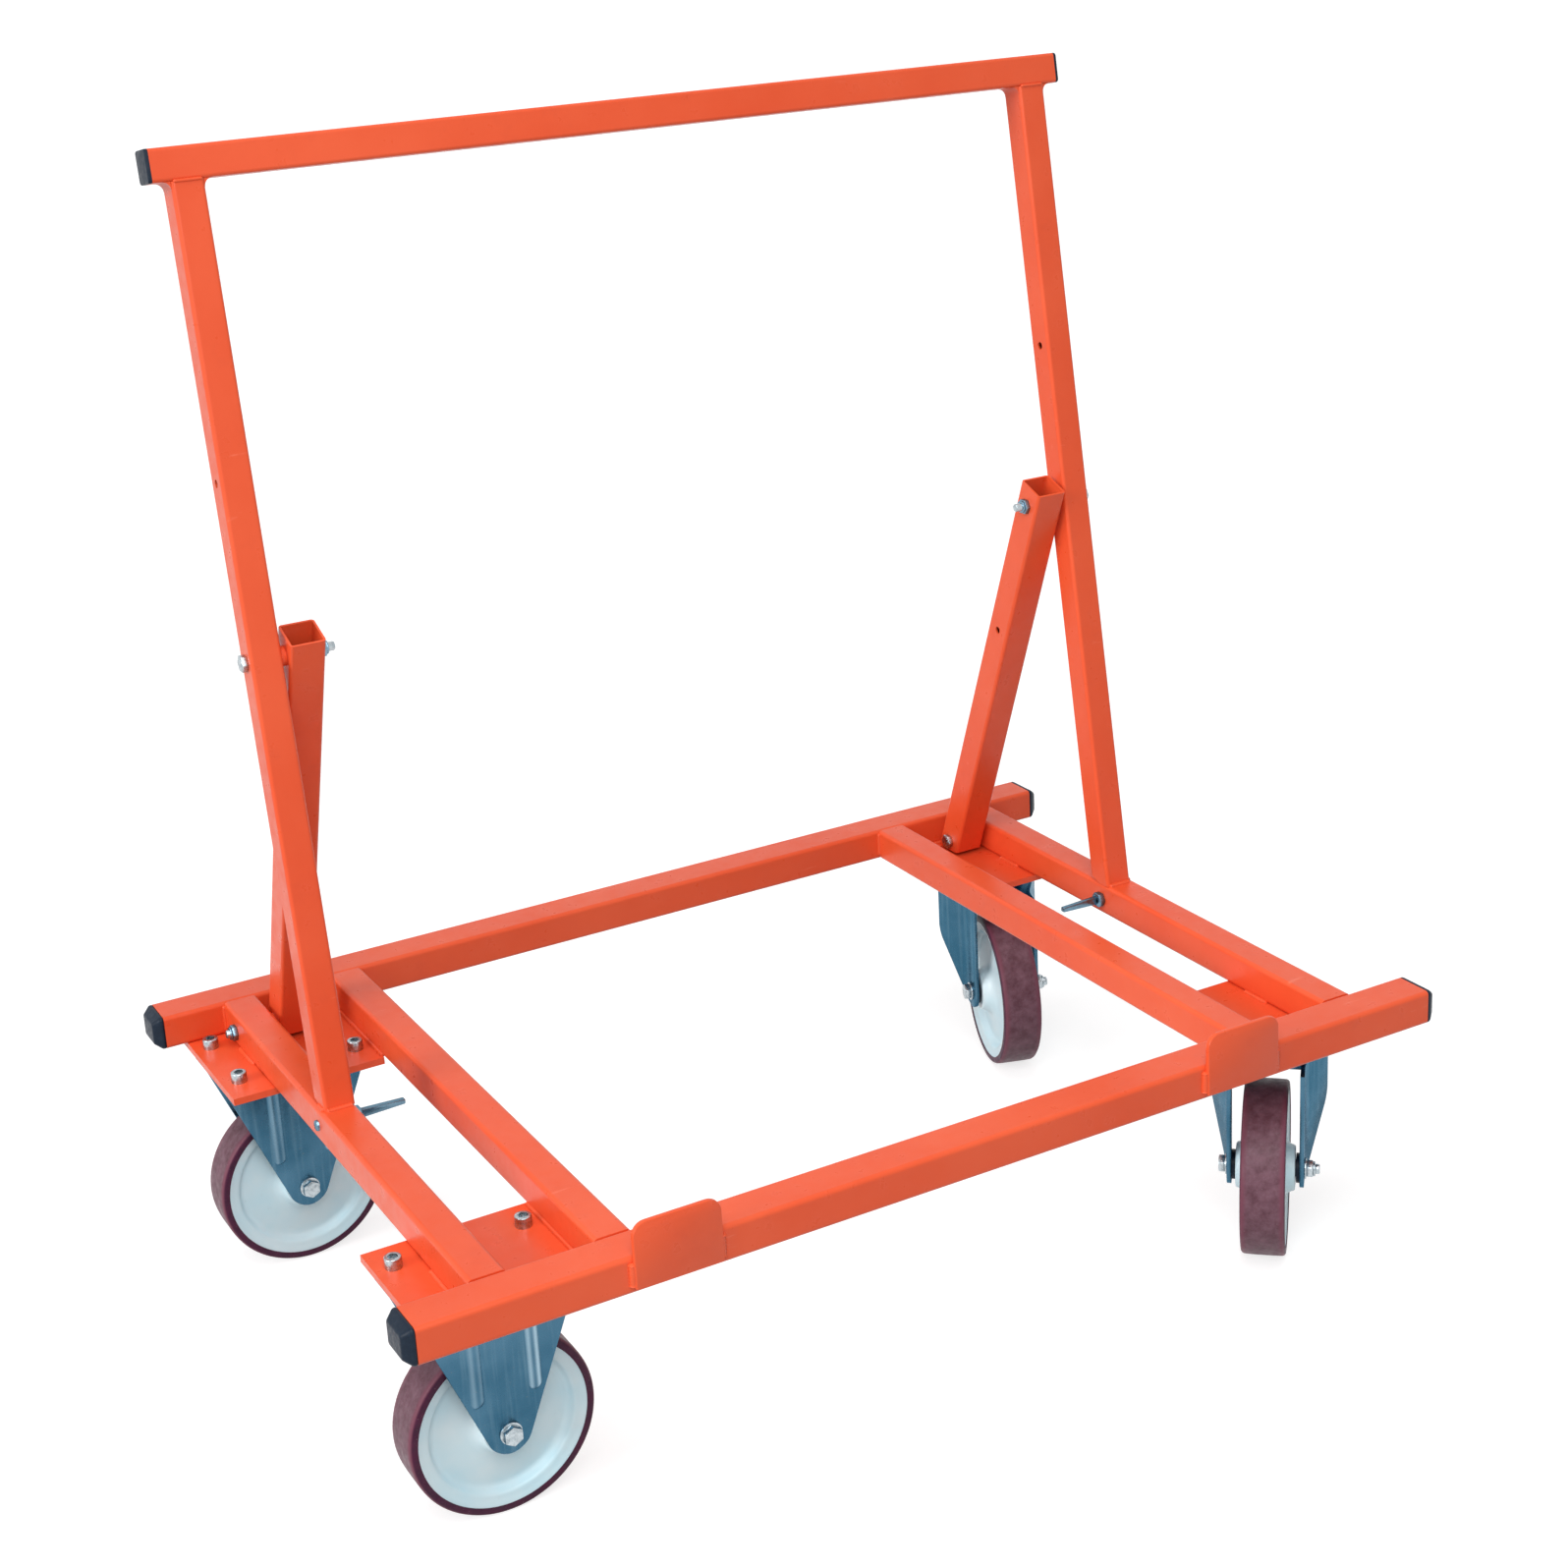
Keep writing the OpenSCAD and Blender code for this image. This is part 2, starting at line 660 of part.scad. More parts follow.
// Foot pins: pin, hex collar and flat handle in one welded piece
module foot_pin(side) {
  handle_start = outer_bar_inside - pin_collar_gap - pin_collar;
  handle_tip = outer_bar_inside - pin_reach;
  color(zinc) translate([0, pin_y, pin_z]) mirror([side < 0 ? 1 : 0, 0, 0]) {
    bar_x(handle_start, outer_bar_outside + pin_tip, pin_d);
    hex_x(handle_start, handle_start + pin_collar, pin_collar_flats);
    rotate([90, 0, 0]) translate([0, 0, -handle_thickness/2]) linear_extrude(handle_thickness)
      polygon([[handle_start, -handle_root/2], [handle_start, handle_root/2],
        [handle_tip, handle_end/2], [handle_tip, -handle_end/2]]);
  }
}

module left_foot_pin() { foot_pin(-1); }
module right_foot_pin() { foot_pin(1); }

// Caster fasteners

module caster_screws() {
  grip = plate_thickness + top_plate_thickness + big_nut_h;
  color(bright) for (side = [-1, 1], end = [-1, 1])
    at_caster(side, end, plate_bottom + plate_thickness) at_screws() {
      difference() {
        cylinder(d = screw_head_d, h = screw_head_h);
        translate([0, 0, screw_head_h - screw_socket_depth])
          cylinder(d = screw_socket/cos(30), h = screw_socket_depth + over, $fn = 6);
      }
      translate([0, 0, -grip]) cylinder(d = screw_d, h = grip);
    }
}

module caster_nuts() {
  color(zinc) for (side = [-1, 1], end = [-1, 1]) at_caster(side, end, head_z - big_nut_h) at_screws()
    difference() {
      cylinder(d = big_nut_flats/cos(30), h = big_nut_h, $fn = 6);
      translate([0, 0, -over]) cylinder(d = screw_d, h = big_nut_h + 2*over);
    }
}

// Top plate of a caster, from head_z up
module top_plate() {
  difference() {
    translate([0, 0, head_z]) linear_extrude(top_plate_thickness)
      round_rect(top_plate_length, top_plate_width, top_plate_corner);
    translate([0, 0, head_z - over]) at_screws()
      cylinder(d = screw_d + 2*bolt_play, h = top_plate_thickness + 2*over);
  }
}

// Side outline of a fixed fork leg, with the axle at the origin and the plate above
module fixed_leg_outline() {
  rise = head_z - axle_z;
  reach = sqrt(fixed_leg_half*fixed_leg_half + rise*rise);
  // Where the straight edge touches the round end
  turn = atan2(rise, fixed_leg_half) - acos(fixed_lobe/reach);
  tx = fixed_lobe*cos(turn);
  ty = fixed_lobe*sin(turn);
  polygon([[-fixed_leg_half, rise], [-tx, ty], [tx, ty], [fixed_leg_half, rise]]);
  circle(r = fixed_lobe);
}

// Upright rib pressed into a fixed leg, from the plate down to a round end
module fixed_rib() {
  low = axle_z + rib_end_rise;
  translate([rib_x, leg_outside + rib_rise - rib_r, low]) {
    cylinder(r = rib_r, h = head_z - low);
    sphere(r = rib_r);
  }
}

// Fixed fork in the caster's own frame: top plate and two legs with pressed ribs
module fixed_fork() {
  top_plate();
  for (side = [0, 1]) mirror([0, side, 0]) difference() {
    union() {
      translate([0, leg_outside, axle_z]) rotate([90, 0, 0]) linear_extrude(fork_sheet) fixed_leg_outline();
      intersection() {
        for (edge = [0, 1]) mirror([edge, 0, 0]) fixed_rib();
        translate([-fixed_leg_half, leg_inside, 0]) cube([2*fixed_leg_half, 3*rib_r, head_z]);
      }
    }
    translate([0, leg_inside - over, axle_z]) rotate([-90, 0, 0])
      cylinder(d = axle_d + 2*bolt_play, h = fork_sheet + 2*over);
  }
}

module front_left_fork() { color(zinc) at_caster(-1, -1, 0) fixed_fork(); }
module rear_left_fork() { color(zinc) at_caster(-1, 1, 0) fixed_fork(); }

// Ring groove that the swivel balls run in
module ball_groove(z) {
  translate([0, 0, z]) rotate_extrude() translate([ball_circle_r, 0]) circle(d = ball_d + 2*running_play);
}

// Swivel top plate: plate, raised race with its ball groove, hole for the king pin
module swivel_top_plate(end) {
  color(zinc) at_caster(1, end, 0) difference() {
    union() {
      top_plate();
      translate([0, 0, race_z]) cylinder(r = head_r, h = race_depth);
    }
    ball_groove(ball_z);
    translate([0, 0, race_z - over]) cylinder(d = king_d, h = race_depth + top_plate_thickness + 2*over);
  }
}

module front_right_top_plate() { swivel_top_plate(-1); }
module rear_right_top_plate() { swivel_top_plate(1); }

module king_pins() {
  low = saddle_bottom - king_gap;
  color(bright) for (end = [-1, 1]) at_caster(1, end, 0) {
    translate([0, 0, low - king_head_h]) cylinder(d = king_head_d, h = king_head_h);
    translate([0, 0, low]) cylinder(d = king_d, h = caster_height - low);
  }
}

module swivel_balls() {
  color(bright) for (end = [-1, 1]) at_caster(1, end, ball_z) for (i = [0 : ball_count - 1])
    rotate([0, 0, i*360/ball_count]) translate([ball_circle_r, 0, 0]) sphere(d = ball_d);
}

// Side outline of a swivel fork leg in the swivel frame, axle at the trail
module swivel_leg_outline() {
  knee = crown_bottom - leg_straight;
  run = swivel_trail + leg_lead;
  rise = knee - axle_z;
  reach = sqrt(run*run + rise*rise);
  turn = 180 - atan2(rise, run) + acos(fork_lobe/reach);
  polygon([[-leg_lead, crown_bottom], [-leg_lead, knee],
    [swivel_trail + fork_lobe*cos(turn), axle_z + fork_lobe*sin(turn)],
    [swivel_trail, axle_z], [swivel_trail + fork_lobe, axle_z], [swivel_trail + fork_lobe, crown_bottom]]);
  translate([swivel_trail, axle_z]) circle(r = fork_lobe);
}

// Plan of a swivel fork leg: straight beside the wheel, flared outwards at the front
module swivel_leg_plan() {
  polygon([[-leg_lead, swivel_inside + leg_flare], [leg_fold, swivel_inside],
    [swivel_trail + fork_lobe, swivel_inside], [swivel_trail + fork_lobe, swivel_outside],
    [leg_fold, swivel_outside], [-leg_lead, swivel_outside + leg_flare]]);
}

module swivel_fork(end) {
  color(zinc) in_swivel(end) difference() {
    union() {
      for (side = [0, 1]) mirror([0, side, 0]) intersection() {
        linear_extrude(crown_bottom) swivel_leg_plan();
        rotate([90, 0, 0]) translate([0, 0, -swivel_outside - leg_flare])
          linear_extrude(swivel_outside + leg_flare) swivel_leg_outline();
      }
      translate([0, 0, saddle_bottom]) linear_extrude(saddle_sheet)
        polygon([[-leg_lead, -swivel_inside - leg_flare], [leg_fold, -swivel_inside],
          [saddle_tail, -swivel_inside], [saddle_tail, swivel_inside],
          [leg_fold, swivel_inside], [-leg_lead, swivel_inside + leg_flare]]);
      translate([0, 0, saddle_bottom]) cylinder(r = head_r, h = saddle_sheet + crown_depth);
    }
    ball_groove(ball_z);
    translate([0, 0, saddle_bottom - over])
      cylinder(d = king_d + 2*running_play, h = saddle_sheet + crown_depth + 2*over);
    translate([swivel_trail, -swivel_outside - over, axle_z]) rotate([-90, 0, 0])
      cylinder(d = axle_d + 2*bolt_play, h = 2*swivel_outside + 2*over);
  }
}

module front_right_fork() { swivel_fork(-1); }
module rear_right_fork() { swivel_fork(1); }

// Axle pieces, along Z in a wheel's frame; the bolt's head is at the front or left end.
// Each takes the outer or inner face of the legs that it goes with.

// Flat washer under the head or the nut
module axle_washer(z) {
  translate([0, 0, z]) cylinder(d = axle_washer_d, h = axle_washer);
}

module axle_bolt(face) {
  seat = face + axle_washer;
  end = face + axle_washer + big_nut_h + axle_tip;
  translate([0, 0, seat]) cylinder(d = big_nut_flats/cos(30), h = axle_head_h, $fn = 6);
  axle_washer(face);
  translate([0, 0, bolt_chamfer - end]) cylinder(d = axle_d, h = end - bolt_chamfer + seat);
  translate([0, 0, -end]) cylinder(d1 = axle_d - bolt_chamfer, d2 = axle_d, h = bolt_chamfer);
}

module axle_nut(face) {
  low = -face - axle_washer - big_nut_h;
  difference() {
    union() {
      translate([0, 0, low]) cylinder(d = big_nut_flats/cos(30), h = big_nut_h, $fn = 6);
      axle_washer(-face - axle_washer);
    }
    translate([0, 0, low - over]) cylinder(d = axle_d, h = big_nut_h + axle_washer + 2*over);
  }
}

module bushes(face, flange) {
  for (side = [0, 1]) mirror([0, 0, side]) difference() {
    union() {
      translate([0, 0, bush_gap/2]) cylinder(d = bush_d, h = face - bush_gap/2);
      translate([0, 0, face - flange]) cylinder(d = bush_flange_d, h = flange);
    }
    cylinder(d = axle_d + 2*running_play, h = face + over);
  }
}

module fixed_axle_bolts() { color(bright) for (end = [-1, 1]) in_fixed_wheel(end) axle_bolt(leg_outside); }
module fixed_axle_nuts() { color(zinc) for (end = [-1, 1]) in_fixed_wheel(end) axle_nut(leg_outside); }
module fixed_axle_bushes() {
  color(black) for (end = [-1, 1]) in_fixed_wheel(end) bushes(leg_inside, bush_flange);
}
module front_right_axle_bolt() { color(bright) in_swivel_wheel(-1) axle_bolt(swivel_outside); }
module front_right_axle_nut() { color(zinc) in_swivel_wheel(-1) axle_nut(swivel_outside); }
module front_right_bushes() { color(black) in_swivel_wheel(-1) bushes(swivel_inside, swivel_bush_flange); }
module rear_right_axle_bolt() { color(bright) in_swivel_wheel(1) axle_bolt(swivel_outside); }
module rear_right_axle_nut() { color(zinc) in_swivel_wheel(1) axle_nut(swivel_outside); }
module rear_right_bushes() { color(black) in_swivel_wheel(1) bushes(swivel_inside, swivel_bush_flange); }

// Wheels

module tyre() {
  rotate_extrude() {
    translate([rim_r, -tread_width/2]) square([tyre_thickness - tyre_edge, tread_width]);
    translate([rim_r, tyre_edge - tread_width/2]) square([tyre_thickness, tread_width - 2*tyre_edge]);
    for (z = [-1, 1]) translate([wheel_d/2 - tyre_edge, z*(tread_width/2 - tyre_edge)]) circle(r = tyre_edge);
  }
}

// Profile of the wheel's centre: one side's points, then the same points mirrored
module wheel_centre() {
  one_side = [[bearing_d/2, hub_length/2], [hub_d/2, hub_length/2], [hub_root_d/2, disc_half],
    [rim_rise_r, disc_half], [rim_face_r, tread_width/2 - rim_dish], [rim_r, tread_width/2 - rim_recess]];
  last = len(one_side) - 1;
  other_side = [for (i = [0 : last]) [one_side[last - i][0], -one_side[last - i][1]]];
  rotate_extrude() polygon(concat(one_side, other_side));
}

module bearing() {
  difference() {
    translate([0, 0, -bearing_length/2]) cylinder(d = bearing_d, h = bearing_length);
    translate([0, 0, -bearing_length/2 - over])
      cylinder(d = bush_d + 2*running_play, h = bearing_length + 2*over);
  }
}

module front_left_tyre() { color(tyre_red) in_fixed_wheel(-1) tyre(); }
module front_left_wheel() { color(white) in_fixed_wheel(-1) wheel_centre(); }
module front_left_bearing() { color(bronze) in_fixed_wheel(-1) bearing(); }
module rear_left_tyre() { color(tyre_red) in_fixed_wheel(1) tyre(); }
module rear_left_wheel() { color(white) in_fixed_wheel(1) wheel_centre(); }
module rear_left_bearing() { color(bronze) in_fixed_wheel(1) bearing(); }
module front_right_tyre() { color(tyre_red) in_swivel_wheel(-1) tyre(); }
module front_right_wheel() { color(white) in_swivel_wheel(-1) wheel_centre(); }
module front_right_bearing() { color(bronze) in_swivel_wheel(-1) bearing(); }
module rear_right_tyre() { color(tyre_red) in_swivel_wheel(1) tyre(); }
module rear_right_wheel() { color(white) in_swivel_wheel(1) wheel_centre(); }
module rear_right_bearing() { color(bronze) in_swivel_wheel(1) bearing(); }

front_rail();
rear_rail();
left_outer_crossbar();
left_inner_crossbar();
right_inner_crossbar();
right_outer_crossbar();
rail_caps();
front_left_plate();
rear_left_plate();
front_right_plate();
rear_right_plate();
left_sheet_stop();
right_sheet_stop();
left_post();
right_post();
left_tongue();
right_tongue();
top_bar();
top_bar_caps();
left_strut();
right_strut();
strut_top_bolts();
strut_base_bolts();
strut_nuts();
strut_spacers();
caster_screws();
caster_nuts();
front_left_fork();
rear_left_fork();
fixed_axle_bolts();
fixed_axle_nuts();
fixed_axle_bushes();
front_right_top_plate();
rear_right_top_plate();
king_pins();
swivel_balls();
front_right_fork();
front_right_axle_bolt();
front_right_axle_nut();
front_right_bushes();
rear_right_fork();
rear_right_axle_bolt();
rear_right_axle_nut();
rear_right_bushes();
front_left_tyre();
front_left_wheel();
front_left_bearing();
rear_left_tyre();
rear_left_wheel();
rear_left_bearing();
front_right_tyre();
front_right_wheel();
front_right_bearing();
rear_right_tyre();
rear_right_wheel();
rear_right_bearing();
left_foot_pin();
right_foot_pin();
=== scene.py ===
"""Looks of the drywall cart: wheels, forks, fasteners, caps and weld beads, dressed over its solids."""

import json
from math import acos, atan2, cos, exp, hypot, pi, radians, sin, tan

import bmesh
import bpy
from mathutils import Matrix, Vector


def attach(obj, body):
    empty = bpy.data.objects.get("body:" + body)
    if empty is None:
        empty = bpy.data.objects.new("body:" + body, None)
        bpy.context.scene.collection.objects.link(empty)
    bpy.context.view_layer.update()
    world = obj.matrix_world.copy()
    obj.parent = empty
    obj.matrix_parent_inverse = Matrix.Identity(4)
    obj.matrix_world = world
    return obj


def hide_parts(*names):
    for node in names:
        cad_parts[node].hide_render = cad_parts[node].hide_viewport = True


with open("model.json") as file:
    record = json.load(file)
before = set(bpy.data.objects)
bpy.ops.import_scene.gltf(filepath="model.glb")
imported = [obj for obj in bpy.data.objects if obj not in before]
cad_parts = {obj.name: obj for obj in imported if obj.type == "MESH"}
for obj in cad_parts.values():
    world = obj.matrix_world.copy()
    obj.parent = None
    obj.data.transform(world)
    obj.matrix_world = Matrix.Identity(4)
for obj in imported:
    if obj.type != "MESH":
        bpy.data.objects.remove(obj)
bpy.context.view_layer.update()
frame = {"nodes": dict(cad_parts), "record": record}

# All lengths are in metres. Base and back frame, the same as in the part's source
HALF_LENGTH, HALF_DEPTH = 0.6125, 0.42
DECK, TUBE_BOTTOM = 0.303, 0.263
RAIL_WIDTH, TUBE_HEIGHT, TUBE_CORNER = 0.05, 0.04, 0.005
RAIL_INSIDE = HALF_DEPTH - RAIL_WIDTH
OUTER_BAR_IN, OUTER_BAR_OUT, INNER_BAR_X, BAR_HALF = 0.5, 0.54, 0.388, 0.02
LEAN = radians(9)
POST_X, POST_HALF, POST_LENGTH, POST_FRONT_Y = 0.5175, 0.0175, 0.99, 0.034
POST_FOOT_Y = POST_FRONT_Y + POST_HALF / cos(LEAN)
POST_OUT, TOP_BAR_END = OUTER_BAR_IN + 2 * POST_HALF, 0.5535
STRUT_IN, STRUT_BOLT_UP = 0.454, 0.49
TOP_BOLT_Y, TOP_BOLT_Z = POST_FOOT_Y + STRUT_BOLT_UP * sin(LEAN), DECK + STRUT_BOLT_UP * cos(LEAN)
BASE_BOLT_Y, BASE_BOLT_Z = 0.33, 0.281
STOP_X, STOP_HALF, STOP_DROP, STOP_RISE, STOP_THICK = 0.3435, 0.048, 0.034, 0.037, 0.006
STOP_TOP_ROUND = 0.015

# Casters
FIXED_X, SWIVEL_X, CASTER_Y, AXLE, TOP_PLATE_BOTTOM = 0.4975, 0.488, 0.293, 0.1, 0.249
SCREW_X, SCREW_Y = 0.07, 0.0525
TOP_PLATE_X, TOP_PLATE_Y, TOP_PLATE_THICK, TOP_PLATE_ROUND = 0.0875, 0.07, 0.006, 0.008
FIXED_IN, FIXED_OUT, FIXED_LOBE, FIXED_HALF = 0.0364, 0.0404, 0.024, 0.086
BEND_R, BEND_SET_OUT, BEND_SHORT = 0.005, 0.0018, 0.004
RIB_X, RIB_R, RIB_RISE, RIB_SINK, RIB_ABOVE_AXLE = 0.031, 0.012, 0.0025, 0.0008, 0.046
RIB_LOW = AXLE + RIB_ABOVE_AXLE
SWIVEL_IN, SWIVEL_OUT, SWIVEL_LOBE = 0.0384, 0.0434, 0.022
TRAIL, LEG_LEAD, LEG_FOLD, LEG_FLARE = 0.065, 0.003, 0.052, 0.024
LEG_STRAIGHT, KNEE_ROUND, FOLD_STEP, FOLD_SOFT = 0.065, 0.012, 0.004, 0.012
CROWN_TOP, CROWN_BOTTOM, SADDLE_BOTTOM = 0.2385, 0.2265, 0.2215
SADDLE_TAIL, SADDLE_LAP = 0.06, 0.001
LEG_KNEE = CROWN_BOTTOM - LEG_STRAIGHT
HEADINGS = {"front": radians(228), "rear": radians(252)}
WHEEL_R, RIM_R, TREAD_HALF = 0.1, 0.091, 0.025
SHOULDER_START, SHOULDER_RUN = 0.0135, 0.0115

# Axle bolts and their lock nuts
WASHER_R, WASHER_THICK = 0.012, 0.0025
AXLE_R, AXLE_FLATS, AXLE_HEAD, AXLE_NUT = 0.006, 0.019, 0.0072, 0.0075
AXLE_CROWN_R, AXLE_COLLAR_R, AXLE_COLLAR = 0.0084, 0.0085, 0.0025
THREAD_R, THREAD_LENGTH, THREAD_REACH = 0.0058, 0.0055, 0.0175
BOLT_CROWN, BOLT_CROWN_STAND = 0.0005, 0.0003

# Strut bolts and their lock nuts
STRUT_BOLT_R, STRUT_FLATS, STRUT_HEAD, STRUT_NUT = 0.005, 0.017, 0.0065, 0.006
STRUT_CROWN_R, STRUT_COLLAR_R, STRUT_COLLAR = 0.0069, 0.0076, 0.0025
TOP_BOLT_LENGTH, BASE_BOLT_LENGTH = 0.0975, 0.0985

# Socket head screws of the casters
SCREW_HEAD_R, SCREW_HEAD, SOCKET_HALF_FLATS, SOCKET_DEPTH = 0.009, 0.012, 0.005, 0.006
SCREW_R, SCREW_LENGTH, SCREW_TOP_EDGE = 0.006, 0.024, 0.0009

# Foot pins
PIN_R, PIN_DROP, PIN_GAP, PIN_TIP = 0.006, 0.02, 0.0004, 0.003
PIN_Y, PIN_Z = POST_FOOT_Y - PIN_DROP * tan(LEAN), DECK - PIN_DROP
PIN_COLLAR_FLATS, PIN_COLLAR = 0.017, 0.008
HANDLE_REACH, HANDLE_ROOT_HALF, HANDLE_END_HALF, HANDLE_THICK = 0.06, 0.005, 0.003, 0.006
HANDLE_END_ROUND = 0.0015

# Caps, and how much smaller than the tube their plugs are
CAP_LAND, CAP_FACE, CAP_DRAW, CAP_EDGE, CAP_EDGE_ANGLE = 0.004, 0.009, 0.007, 0.0016, 24
TOP_CAP, TOP_CAP_CORNER, TOP_CAP_EDGE = 0.004, 0.004, 0.0014
PLUG_LENGTH, PLUG_CORNER, PLUG_EDGE = 0.02, 0.002, 0.001
RAIL_PLUG_ROOM, TOP_PLUG_ROOM = 0.0064, 0.0054

# Weld beads: the radius of each kind, how far it stops short of an edge, and where the short runs lie
STOP_BEAD, STOP_BEAD_LOW, STOP_BEAD_TOP = 0.0052, 0.002, 0.006
BAR_BEAD, BAR_BEAD_LOW, BAR_BEAD_TOP = 0.0028, 0.005, 0.004
FOOT_BEAD, FOOT_BEAD_START, FOOT_BEAD_END, FOOT_BEAD_PAST_MIDDLE = 0.0034, 0.003, 0.002, 0.002
HEAD_BEAD, HEAD_BEAD_SHORT, HEAD_FILLET, HEAD_FILLET_SHORT = 0.002, 0.002, 0.009, 0.005
PLATE_BEAD, EDGE_BEAD, EDGE_BEAD_UP = 0.0036, 0.0034, 0.0012
PLATE_EDGE, PLATE_NEAR_Y = 0.4073, 0.204
OUTSIDE_BEAD_Y, INSIDE_BEAD_Y, RAIL_BEAD_X = (0.27, 0.32), (0.235, 0.275), (0.44, 0.48)
BEAD_PITCH, BEAD_END_SHARE, BEAD_DIP_SHARE = 0.0035, 0.45, 0.82

# Broken edges
SHEET_EDGE, PLATE_SHEET_EDGE, FIXED_LEG_EDGE, SWIVEL_LEG_EDGE = 0.0006, 0.0008, 0.0011, 0.0012
HEX_EDGE, BIG_HEX_EDGE, BOLT_CROWN_EDGE, NUT_COLLAR_EDGE = 0.0007, 0.001, 0.0002, 0.0008
THREAD_EDGE, STRUT_TIP_EDGE, SCREW_TIP_EDGE, PIN_TIP_EDGE = 0.0012, 0.0014, 0.0008, 0.0012
STOP_EDGE, STOP_FOOT_ROUND = 0.0014, 0.002

# Steps round each kind of shape
WHEEL_STEPS, HEAD_STEPS, ROUND_STEPS, SHANK_STEPS, SCREW_STEPS, PIN_STEPS = 128, 72, 32, 24, 20, 28
RIB_STEPS, RIB_RINGS, BEAD_STEPS = 96, 24, 8

# Distance within which points are one, and slack when points are picked by their place
MERGE, SLACK = 1e-6, 1e-6

# Colours
PAINT_DEEP, PAINT_LIGHT = (0.77, 0.086, 0.025), (0.83, 0.114, 0.040)
PAINT_RUBBED, PAINT_GRIME = (0.86, 0.165, 0.085), (0.46, 0.045, 0.024)
ZINC_DARK, ZINC_LIGHT, ZINC_DRAWN = (0.030, 0.106, 0.174), (0.074, 0.176, 0.262), (0.20, 0.33, 0.41)
# The middle colour on the next line is the painted highlight on the fork rib flanks, and also a paler tint
# for the nuts and pins
ZINC_SPOT, ZINC_PALE_AND_HIGHLIGHT, ZINC_SHEEN = (0.14, 0.17, 0.17), (0.50, 0.68, 0.78), (0.5, 0.66, 0.76)
BRIGHT_CLEAN, BRIGHT_DULL = (0.50, 0.56, 0.59), (0.27, 0.32, 0.35)
CAP_BLACK, CAP_DUST = (0.004, 0.012, 0.026), (0.022, 0.045, 0.075)
# The last colour on the next line is a painted highlight: a lighter pinkish red along the tyre shoulders
TREAD_DARK, TREAD_SCUFFED, SHOULDER_HIGHLIGHT = (0.095, 0.036, 0.052), (0.19, 0.094, 0.126), (0.17, 0.050, 0.080)
SIDE_DARK, SIDE_SCUFFED, TREAD_GRIT = (0.034, 0.003, 0.022), (0.075, 0.006, 0.036), (0.33, 0.25, 0.26)
NYLON_BLUE, NYLON_PALE, NYLON_DIRT = (0.64, 0.88, 0.97), (0.78, 0.93, 0.98), (0.42, 0.42, 0.42)
STEEL_DARK, STEEL_LIGHT = (0.44, 0.44, 0.43), (0.58, 0.58, 0.57)
PAINT_MARK_STRETCH, DRAWING_STRETCH = (9, 60, 60), (150, 150, 7)


# Finishes

def node_maker(tree):
    """A short way to add a node with its values set."""
    def add(kind, **values):
        node = tree.nodes.new(kind)
        for key, value in values.items():
            if key in node.inputs:
                node.inputs[key].default_value = value
            else:
                setattr(node, key, value)
        return node

    return add


def finish_named(name):
    """An empty node material, its shader, object coordinates, and short ways to add and link nodes."""
    mat = bpy.data.materials.new(name)
    mat.use_nodes = True
    tree = mat.node_tree
    add = node_maker(tree)
    where = add("ShaderNodeTexCoord").outputs["Object"]
    return mat, tree.nodes["Principled BSDF"], where, add, tree.links.new


def stretched(add, link, source, scale):
    """Object coordinates stretched or squeezed along each axis."""
    mapping = add("ShaderNodeMapping")
    mapping.inputs["Scale"].default_value = scale
    link(source, mapping.inputs["Vector"])
    return mapping.outputs["Vector"]


def cloud(add, link, vector, scale, detail=4.0, rough=0.55):
    """Soft noise in object space."""
    noise = add("ShaderNodeTexNoise", Scale=scale, Detail=detail, Roughness=rough)
    link(vector, noise.inputs["Vector"])
    return noise.outputs["Fac"]


def band(add, link, value, low, high, out_low=0.0, out_high=1.0):
    """Remaps a value between two limits, held at both ends."""
    node = add("ShaderNodeMapRange", clamp=True)
    for key, number in zip(("From Min", "From Max", "To Min", "To Max"), (low, high, out_low, out_high)):
        node.inputs[key].default_value = number
    link(value, node.inputs["Value"])
    return node.outputs["Result"]


def patches(add, link, vector, scale, limits, out=(0.0, 1.0), detail=4.0, rough=0.55):
    """Soft noise remapped from two limits to two outcomes."""
    return band(add, link, cloud(add, link, vector, scale, detail, rough), *limits, *out)


def blend_colours(add, link, factor, first, second):
    """Mixes two colours, each a tuple or a socket."""
    mix = add("ShaderNodeMix", data_type="RGBA")
    link(factor, mix.inputs["Factor"])
    for index, colour in ((6, first), (7, second)):
        if isinstance(colour, tuple):
            mix.inputs[index].default_value = (*colour, 1)
        else:
            link(colour, mix.inputs[index])
    return mix.outputs[2]


def coat(link, shader, tone, rough):
    """Gives a shader its tone and its roughness."""
    link(tone, shader.inputs["Base Color"])
    link(rough, shader.inputs["Roughness"])


def raised(add, link, height, shader, strength, distance):
    """Fine relief on the surface."""
    bump = add("ShaderNodeBump", Strength=strength, Distance=distance)
    link(height, bump.inputs["Height"])
    link(bump.outputs["Normal"], shader.inputs["Normal"])


